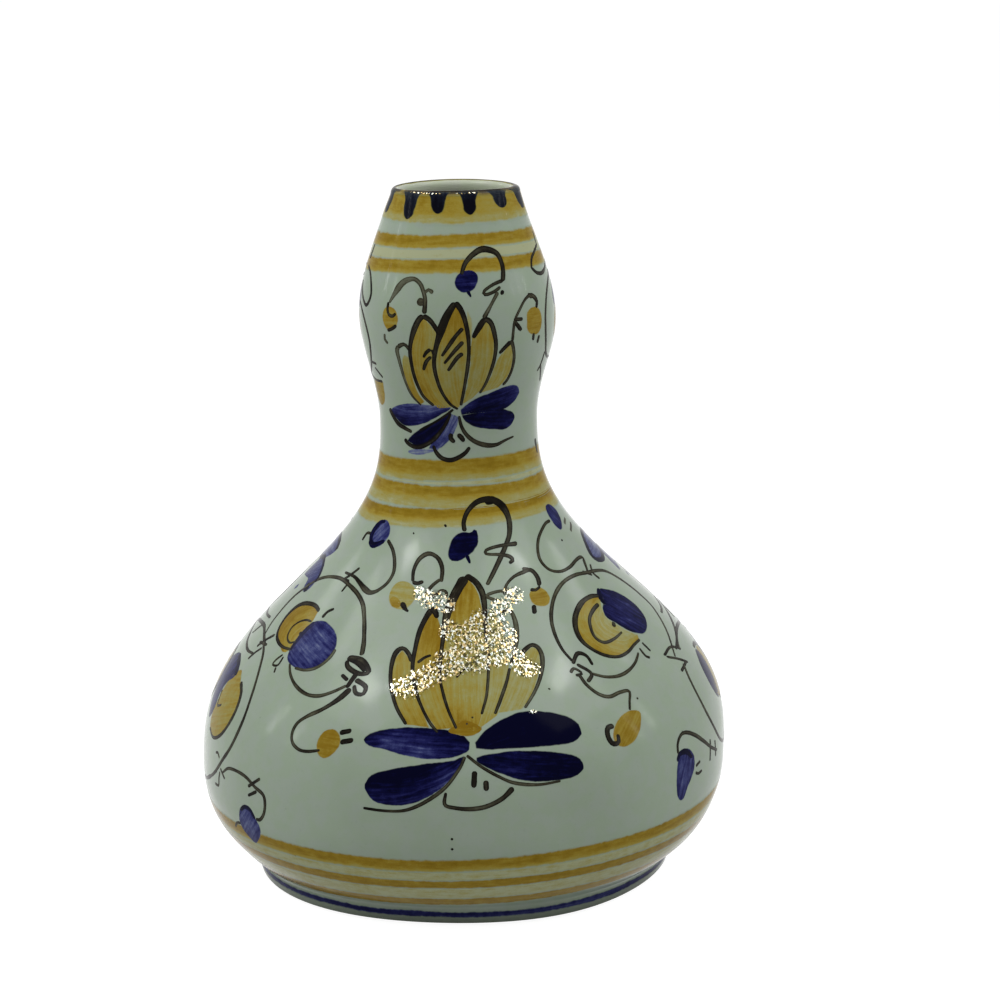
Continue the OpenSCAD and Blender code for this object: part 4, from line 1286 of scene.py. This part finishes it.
def lining_outline():
    """Inside and clay side of the lining, from the top of the lip down to the middle of the floor."""
    bend = np.linspace(math.pi / 2, math.pi, LIP_ROWS)
    z = np.linspace(LIP_Z, FLOOR_Z + LINING_T, LINING_ROWS)[1:]
    floor_share = np.linspace(1, 0.01, FLOOR_ROWS)[1:]
    inner = clay_inside(z) - LINING_T * lean(z)
    clay = clay_inside(np.maximum(z - LINING_T, FLOOR_Z))
    down = np.append(z[:-1], FLOOR_Z)
    sides = ((lip_arc(bend), inner, z), (clay_lip_arc(bend), clay, down))
    return [
        (
            np.concatenate([arc[0], r, r[-1] * floor_share]),
            np.concatenate([arc[1], h, np.full(len(floor_share), h[-1])]),
        )
        for arc, r, h in sides
    ]


class VASE_OT_glaze_skin(bpy.types.Operator):
    """Lays the white glaze over the outside, from the bare foot to the top of the lip"""

    bl_idname = "vase.glaze_skin"
    bl_label = "Glaze skin"

    def execute(self, context):
        coat = Coat("glaze_skin")
        turned(coat, *skin_outline())
        coat.build(finish("glaze", context), "white_glaze", "outer_glaze")
        return {"FINISHED"}


class VASE_OT_glaze_lining(bpy.types.Operator):
    """Lays the glaze over the inside, from the top of the lip to the floor"""

    bl_idname = "vase.glaze_lining"
    bl_label = "Glaze lining"

    def execute(self, context):
        coat = Coat("glaze_lining")
        turned(coat, *lining_outline())
        coat.build(finish("lining", context), "white_glaze", "inner_glaze")
        return {"FINISHED"}


class VASE_OT_clay_and_base(bpy.types.Operator):
    """Gives the clay body, its foot and the glazed hollow under it their finishes"""

    bl_idname = "vase.clay_and_base"
    bl_label = "Clay and base"

    def execute(self, context):
        for name in ("belly", "neck", "foot_ring", "base_glaze"):
            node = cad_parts[name]
            node.data.materials.clear()
            node.data.materials.append(finish("glaze" if name == "base_glaze" else "clay", context))
        return {"FINISHED"}


# Painted bands


def wander(random, phi, size):
    """A gentle seeded wander of a stroke that closes round the vase."""
    waves = sum(
        random.uniform(-1, 1) / k**0.6 * np.cos(k * phi + random.uniform(0, TURN)) for k in range(2, 26)
    )
    return size * waves / 2


def eased(value, low, high):
    """0 below low and 1 above high, with a soft step between."""
    share = np.clip((value - low) / (high - low), 0, 1)
    return share**2 * (3 - 2 * share)


# Paint load of a thin wash, and how fast a band's streaks change round the vase
WASH_LOAD = 0.26
BAND_GRAIN = 0.2


def band(coat, low, high, load, tilt=0.0, dip=0.0, wash=0.0, body_rise=1.6, ragged=0.2, soft=0.8, rows=13,
         lift=BAND_LIFT, ends=None):
    """Adds a brushed band between two heights. tilt is its climb to the right for each millimetre, dip is
    how far it is lower at the sides, wash is how far its thin lower part runs on below it, and body_rise is
    how soon it is full. ends are its two lengths along the wall, if it goes over the lip."""
    random, phi = coat.random, AROUND_PHI
    reach = float(outside(min((low + high) / 2, LIP_Z))) * np.sin(phi) * tilt - dip * (1 - np.cos(phi))
    bottom = (ends[0] if ends else WALL.along(low - wash + reach)) + wander(random, phi, ragged)
    top = (ends[1] if ends else WALL.along(high + reach)) + wander(random, phi, ragged)
    t = np.sin(np.linspace(-1, 1, rows) * math.pi / 2)[None, :]
    wide = top - bottom
    s = bottom + wide * (t + 1) / 2
    edge = (1 - np.abs(t)) * wide / 2 / soft
    above = (s - bottom) / wide * (high - low + wash) - wash
    body = eased(above, -0.6, body_rise) if wash else 1.0
    heavy = WASH_LOAD + (load - WASH_LOAD) * body + wander(random, phi, BAND_WANDER)
    height = np.where(edge <= 0, SUNK, lift)
    turn = phi + 0 * t
    face, normals = WALL.at(s, turn, height)
    back, _ = WALL.at(s, turn, BACK)
    brush = np.stack(np.broadcast_arrays(edge, heavy, 0.0), -1)
    grain = np.stack([face[..., 0] * BAND_GRAIN, s, face[..., 1] * BAND_GRAIN], -1)
    place = (coat.band_at + (s - s.min()) / np.ptp(s)) / coat.band_count
    flat = np.stack([MARGIN + TURN_SHARE * turn / TURN, MARGIN + SHARE * place], -1)
    coat.band_at += 1
    coat.sheet(face, normals, back, brush, grain, flat, ring=True)


def band_coat(name, count, seed):
    """A coat for a number of bands, which lie over each other in its colour map."""
    coat = Coat(name, seed)
    coat.band_at, coat.band_count = 0, count
    return coat


# The groups of yellow bands: seed, and load of the wash under them. Each band has its low and high edge,
# its load, its share of the group's tilt, its dip at the sides and the reach of its wash
BAND_GROUPS = {
    "neck": (11, -0.08, (
        (161.4, 165.3, 0.8, 1.0, 1.35, 0.3),
        (167.4, 171.2, 0.8, 1.0, 1.0, 0.2),
    )),
    "waist": (12, 0.08, (
        (98.2, 101.6, 0.9, 1.4, 0.6, 1.8),
        (103.0, 106.9, 0.8, 0.25, 0.45, 2.3),
        (109.0, 113.7, 0.8, 1.0, 1.0, 1.5),
    )),
    "foot": (13, 0.08, (
        (6.9, 9.9, 0.84, 1.0, 0.0, 0.0),
        (13.2, 16.5, 0.84, 1.0, 0.0, 0.0),
        (19.2, 23.0, 0.84, 1.0, 0.0, 0.5),
    )),
}
UNDER_ROWS = 49
FOOT_LINE = (2.3, 4.4)


class VASE_OT_yellow_bands(bpy.types.Operator):
    """Brushes the yellow bands round the neck, under the waist and above the foot"""

    bl_idname = "vase.yellow_bands"
    bl_label = "Yellow bands"

    def execute(self, context):
        for place, (seed, under, bands) in BAND_GROUPS.items():
            tilt = getattr(context.scene.vase_sizes, f"{place}_tilt")
            coat = band_coat(f"{place}_yellow_bands", len(bands) + 1, seed)
            low, _, _, share, dip, _ = bands[0]
            high = bands[-1][1] - 1.0
            band(coat, low, high, under, tilt * share, dip, soft=1.0, rows=UNDER_ROWS, lift=WASH_LIFT)
            for low, high, load, share, dip, wash in bands:
                band(coat, low, high, load, tilt * share, dip, wash)
            coat.build(finish("ochre_band", context), "ochre_paint", f"{place}_bands")
        return {"FINISHED"}


class VASE_OT_foot_line(bpy.types.Operator):
    """Draws the blue line round the foot"""

    bl_idname = "vase.foot_line"
    bl_label = "Blue foot line"

    def execute(self, context):
        coat = band_coat("foot_blue_line", 1, 14)
        band(coat, *FOOT_LINE, load=0.6, ragged=0.3, soft=0.6, lift=FILL_LIFT)
        coat.build(finish("cobalt", context), "cobalt_paint", "foot_line")
        return {"FINISHED"}


# The drops on the rim: turn in degrees, reach, width and slant in millimetres, and how full of paint
RIM_DROPS = (
    (-77, 4.6, 4.6, 0.2, 0.80),
    (-40, 5.1, 4.3, -0.3, 0.88),
    (-14.5, 3.7, 4.2, 0.2, 1.05),
    (12.0, 4.0, 3.9, 0.1, 1.10),
    (40.5, 3.0, 4.7, 0.8, 0.90),
    (71, 4.0, 5.2, 1.5, 0.90),
    (104, 4.3, 4.2, -0.3, 0.90),
    (133, 4.0, 4.3, 0.2, 0.95),
    (163, 4.6, 4.0, 0.4, 0.90),
    (193, 3.8, 4.3, -0.4, 0.95),
    (222, 4.5, 4.1, 0.2, 0.85),
    (252, 4.1, 4.4, 0.5, 0.95),
)

# Half width and length of a drop, as shares from the lip to its tip
DROP_SHAPE = (
    (1.75, 0.0), (1.5, 0.1), (1.16, 0.24), (1.04, 0.4), (1.0, 0.56),
    (0.94, 0.7), (0.82, 0.82), (0.6, 0.92), (0.3, 0.98), (0.0, 1.0),
)
DROP_TOP_LOAD = 0.55
DROP_LOADS = (0.72, 0.92, 1.0, 1.0, 1.0)
DROP_START = LIP_R * math.radians(62)

# Where the rim band begins and is full, and how far up the lip's arc its two layers reach
RIM_LOW, RIM_FULL = 172.8, 174.4
LIP_ARC = LIP_Z + LIP_R


def wrapped(angle):
    """The same angle between half a turn back and half a turn on."""
    return (angle + math.pi) % TURN - math.pi


def around(turn, spread):
    """1 at a turn in degrees, fading with a spread in radians."""
    return np.exp(-((wrapped(AROUND_PHI - math.radians(turn)) / spread) ** 2))


def drop_side(side, uneven, reach, wide, slant):
    """One edge of a drop as the points of a brush stroke."""
    points = (
        (slant * v + side * (wide / 2 * u + w * (u > 0)), DROP_START - v * (reach + DROP_START))
        for (u, v), w in zip(DROP_SHAPE, uneven)
    )
    return " ".join(f"{u:.3f},{v:.3f}" for u, v in points)


class VASE_OT_rim(bpy.types.Operator):
    """Paints the rim: the yellow band, the blue drops and the brown brush line on the lip"""

    bl_idname = "vase.rim"
    bl_label = "Rim"

    def execute(self, context):
        coat = band_coat("rim_yellow_band", 1, 15)
        thin = 0.68 - 0.16 * around(28, 0.35)
        ends = (WALL.along(RIM_LOW), WALL.over_lip(78))
        band(coat, RIM_FULL, LIP_ARC, thin, wash=1.6, body_rise=1.0, rows=33, lift=FILL_LIFT, ends=ends)
        coat.build(finish("ochre_band", context), "ochre_paint", "rim_band")
        coat = band_coat("lip_brown_line", 1, 16)
        near = sum(around(turn, 0.2) for turn, *_ in RIM_DROPS)
        smear = 0.44 + 0.56 * np.minimum(near, 1) + wander(coat.random, AROUND_PHI, 0.46)
        ends = (WALL.over_lip(8), WALL.over_lip(118))
        band(coat, LIP_Z, LIP_ARC, smear, wash=0.8, body_rise=0.3, soft=0.35, rows=23, lift=LIP_LINE_LIFT,
             ends=ends)
        coat.build(finish("lip", context), "brown_paint", "lip_line")
        drops = Coat("rim_blue_drops", 17)
        painter = Painter(drops, DROP_LIFT)
        for turn, reach, wide, slant, load in RIM_DROPS:
            wild = drops.random.uniform(-0.12, 0.12, (2, len(DROP_SHAPE)))
            sides = [drop_side(side, uneven, reach, wide, slant) for side, uneven in zip((-1, 1), wild)]
            loads = (DROP_TOP_LOAD, *(share * load for share in DROP_LOADS))
            painter.paint(Chart(turn, LIP_Z), [petal(*sides, load=loads, rim=-0.12, step=0.3)])
        drops.build(finish("drop", context), "cobalt_paint", "rim_drops")
        return {"FINISHED"}


# Painted flowers


def spread_flat(coat):
    """Fits the painted strokes of a piece into its colour map, with the hidden backs left in a corner."""
    flat = np.concatenate(coat.flat)
    shown = np.any(flat != HIDDEN, axis=1)
    low, high = flat[shown].min(0), flat[shown].max(0)
    flat = flat.copy()
    flat[shown] = MARGIN + SHARE * (flat[shown] - low) / (high - low)
    coat.flat = [flat]


def flowers(context, name, seed, groups):
    """Makes the pieces of one part of the wall, one for each colour, from charts with their strokes."""
    for place, colour in enumerate(("ochre", "cobalt", "brown")):
        coat = Coat(f"{name}_{colour}", seed * 10 + place)
        painter = Painter(coat)
        for chart, strokes in groups:
            painter.paint(chart, strokes.get(colour, ()))
        if coat.count:
            spread_flat(coat)
            coat.build(finish(colour, context), f"{colour}_paint")


# Turn of each face of the vase, and the names of its bloom and of the vines left and right of it
FACES = (
    (0, "front_bloom", "left_vine", "right_vine"),
    (180, "back_bloom", "back_right_vine", "back_left_vine"),
)
BELLY_CHART, NECK_CHART = 30, 120


class VASE_OT_belly_flowers(bpy.types.Operator):
    """Paints the blooms, rosettes, buds and vines round the belly"""

    bl_idname = "vase.belly_flowers"
    bl_label = "Belly flowers"

    def execute(self, context):
        for turn, bloom, left, right in FACES:
            seed = 21 + turn // 10
            parts = (
                (bloom, ((0, BELLY_BLOOM),)),
                (left, ((-45, LEFT_ROSETTE), (-78, LEFT_SIDE))),
                (right, ((42, RIGHT_ROSETTE), (76, RIGHT_SIDE))),
            )
            for place, (name, drawn) in enumerate(parts):
                groups = [(Chart(phi, BELLY_CHART, turn), strokes) for phi, strokes in drawn]
                flowers(context, name, seed + place, groups)
        return {"FINISHED"}


class VASE_OT_neck_flowers(bpy.types.Operator):
    """Paints the blooms, buds and vines round the neck"""

    bl_idname = "vase.neck_flowers"
    bl_label = "Neck flowers"

    def execute(self, context):
        for turn, name in ((0, "neck_front"), (180, "neck_back")):
            drawn = ((0, NECK_BLOOM), (62, NECK_RIGHT), (-60, NECK_LEFT))
            groups = [(Chart(phi, NECK_CHART, turn), strokes) for phi, strokes in drawn]
            flowers(context, name, 61 + turn // 10, groups)
        return {"FINISHED"}


# Stage

WHITE = (1, 1, 1, 1)
FLOOR_SIDE = 6.0
FLOOR_GLOW = 0.94
FLOOR_PALE = (0.20, 0.20, 0.20, 1)
FLOOR_DIM = (0.67, 0.67, 0.67, 1)

# Where the lamps point, and how far off they stand, in metres
LAMP_TARGET = Vector((0, 0, 0.08))
LAMP_FAR = 1.0

# Name, turn and rise in degrees, width and height in metres, and how bright the lamp looks
LAMPS = (
    ("left_soft", -66, 52, 0.60, 0.60, 4.0),
    ("right_soft", 66, 52, 0.60, 0.60, 3.6),
    ("left_window", -99, 50, 0.13, 0.26, 8.0),
    ("left_far_window", -126, 31, 0.18, 0.18, 4.0),
    ("right_window", 113, 38, 0.14, 0.24, 6.0),
    ("left_glint", -66, 50, 0.18, 0.12, 28.0),
    ("right_glint", 72, 51, 0.20, 0.08, 28.0),
    ("left_pane_a", -97, 18, 0.010, 0.26, 45.0),
    ("left_pane_b", -82, 18, 0.010, 0.26, 45.0),
    ("right_pane_a", 72, 19, 0.008, 0.26, 50.0),
    ("right_pane_b", 83, 19, 0.010, 0.26, 50.0),
    ("right_pane_c", 93, 19, 0.008, 0.26, 45.0),
)

LENS = 111.755
SENSOR = 36.0
CAMERA_AT = (0.0, -0.792, 0.29128)
CAMERA_YAW, CAMERA_PITCH, CAMERA_ROLL = 0.0132, 0.2402, 0.0157


def make_camera(context):
    """The camera at the photograph's viewing angle."""
    yaw, pitch, roll = CAMERA_YAW, CAMERA_PITCH, CAMERA_ROLL
    ahead = Vector((math.sin(yaw) * math.cos(pitch), math.cos(yaw) * math.cos(pitch), -math.sin(pitch)))
    level = Vector((math.cos(yaw), -math.sin(yaw), 0))
    down = ahead.cross(level)
    right = math.cos(roll) * level + math.sin(roll) * down
    below = -math.sin(roll) * level + math.cos(roll) * down
    data = bpy.data.cameras.new("camera")
    data.lens, data.sensor_width = LENS, SENSOR
    data.clip_start, data.clip_end = 0.01, 20
    camera = bpy.data.objects.new("camera", data)
    turned_to = Matrix((right, -below, -ahead)).transposed().to_4x4()
    camera.matrix_world = Matrix.Translation(CAMERA_AT) @ turned_to
    context.scene.collection.objects.link(camera)
    context.scene.camera = camera


def make_lamp(context, name, turn, rise, wide, tall, radiance):
    """A soft square lamp, by its direction from the vase, its size and how bright it looks."""
    turn, rise = math.radians(turn), math.radians(rise)
    way = Vector((math.sin(turn) * math.cos(rise), -math.cos(turn) * math.cos(rise), math.sin(rise)))
    data = bpy.data.lights.new(name, "AREA")
    data.shape = "RECTANGLE"
    data.size, data.size_y = wide, tall
    data.energy = radiance * math.pi * wide * tall
    lamp = bpy.data.objects.new(name, data)
    lamp.location = LAMP_TARGET + way * LAMP_FAR
    lamp.rotation_mode = "QUATERNION"
    lamp.rotation_quaternion = way.to_track_quat("Z", "Y")
    context.scene.collection.objects.link(lamp)


def white_seen(f, seen, unseen):
    """Ends a node tree with one surface for the rays that see the background and another for all others."""
    return f.node("ShaderNodeMixShader", {}, {0: f.shown_rays(), 1: unseen, 2: seen})


class VASE_OT_stage(bpy.types.Operator):
    """Sets up the pale floor, the lamps, the white background and the camera"""

    bl_idname = "vase.stage"
    bl_label = "Stage"

    def execute(self, context):
        context.scene.view_settings.view_transform = "Standard"
        self.world(context)
        self.floor(context)
        for lamp in LAMPS:
            make_lamp(context, *lamp)
        make_camera(context)
        return {"FINISHED"}

    def world(self, context):
        """A white background over the even light of the room."""
        context.scene.world = bpy.data.worlds.new("studio")
        f = Finish("studio", context.scene.world)
        white = f.node("ShaderNodeBackground", {}, {0: WHITE, 1: 1.0})
        room = f.node("ShaderNodeBackground", {}, {0: WHITE, 1: context.scene.vase_sizes.room_light})
        f.node("ShaderNodeOutputWorld", {}, {0: white_seen(f, white, room)})

    def floor(self, context):
        """A pale floor that looks white and keeps the shadow."""
        mesh = bpy.data.meshes.new("floor")
        corners = [(FLOOR_SIDE * x, FLOOR_SIDE * y, 0) for x, y in ((-1, -1), (1, -1), (1, 1), (-1, 1))]
        mesh.from_pydata(corners, [], [(0, 1, 2, 3)])
        floor = bpy.data.objects.new("floor", mesh)
        context.scene.collection.objects.link(floor)
        f = Finish("pale_floor")
        glow = f.node("ShaderNodeEmission", {}, {0: WHITE, 1: FLOOR_GLOW})
        pale = f.node("ShaderNodeBsdfDiffuse", {}, {0: FLOOR_PALE})
        dim = f.node("ShaderNodeBsdfDiffuse", {}, {0: FLOOR_DIM})
        lit = f.node("ShaderNodeAddShader", {}, {0: glow, 1: pale})
        f.node("ShaderNodeOutputMaterial", {}, {0: white_seen(f, lit, dim)})
        mesh.materials.append(f.owner)


# Settings, panel and registration


class VaseSizes(bpy.types.PropertyGroup):
    """Tilts of the painted bands, and the light of the room"""

    neck_tilt: FloatProperty(
        name="Neck band tilt", description="Climb of the neck bands to the right", default=0.017
    )
    waist_tilt: FloatProperty(
        name="Waist band tilt", description="Climb of the top waist band to the right", default=0.029
    )
    foot_tilt: FloatProperty(
        name="Foot band tilt", description="Climb of the foot bands to the right", default=0.017
    )
    room_light: FloatProperty(
        name="Room light", description="Strength of the even light from all round", default=0.36, min=0.0
    )


class VaseColours(bpy.types.PropertyGroup):
    """Colours of the glaze, the paints and the clay"""

    glaze: FloatVectorProperty(
        name="Glaze", description="White tin glaze", subtype="COLOR", default=(0.213, 0.260, 0.205)
    )
    # Painted light: the inside glaze is written paler than the outer glaze so the mouth looks lit
    lining: FloatVectorProperty(
        name="Lining", description="Glaze inside", subtype="COLOR", default=(0.36, 0.39, 0.31)
    )
    ochre: FloatVectorProperty(
        name="Ochre", description="Yellow brushwork", subtype="COLOR", default=(0.215, 0.158, 0.024)
    )
    cobalt: FloatVectorProperty(
        name="Cobalt", description="Blue brushwork", subtype="COLOR", default=(0.0022, 0.0026, 0.028)
    )
    brown: FloatVectorProperty(
        name="Brown", description="Dark outlines", subtype="COLOR", default=(0.012, 0.010, 0.007)
    )
    clay: FloatVectorProperty(
        name="Clay", description="Bare fired clay", subtype="COLOR", default=(0.36, 0.26, 0.17)
    )


STEPS = (
    VASE_OT_glaze_skin,
    VASE_OT_glaze_lining,
    VASE_OT_clay_and_base,
    VASE_OT_yellow_bands,
    VASE_OT_foot_line,
    VASE_OT_rim,
    VASE_OT_belly_flowers,
    VASE_OT_neck_flowers,
    VASE_OT_stage,
)


class VASE_PT_panel(bpy.types.Panel):
    """Lists the settings and the steps"""

    bl_idname = "VASE_PT_panel"
    bl_label = "Painted gourd vase"
    bl_space_type = "VIEW_3D"
    bl_region_type = "UI"
    bl_category = "Vase"

    def draw(self, context):
        layout = self.layout
        for group in (context.scene.vase_sizes, context.scene.vase_colours):
            for key in group.__annotations__:
                layout.prop(group, key)
        for step in STEPS:
            layout.operator(step.bl_idname)


CLASSES = (VaseSizes, VaseColours, *STEPS, VASE_PT_panel)


def register():
    """Registers the classes and the settings."""
    for cls in CLASSES:
        bpy.utils.register_class(cls)
    bpy.types.Scene.vase_sizes = PointerProperty(type=VaseSizes)
    bpy.types.Scene.vase_colours = PointerProperty(type=VaseColours)


def unregister():
    """Takes away what register added."""
    del bpy.types.Scene.vase_colours
    del bpy.types.Scene.vase_sizes
    for cls in reversed(CLASSES):
        bpy.utils.unregister_class(cls)


def main():
    """Runs every step."""
    register()
    for step in STEPS:
        area, name = step.bl_idname.split(".")
        getattr(getattr(bpy.ops, area), name)()


if __name__ == "__main__":
    main()
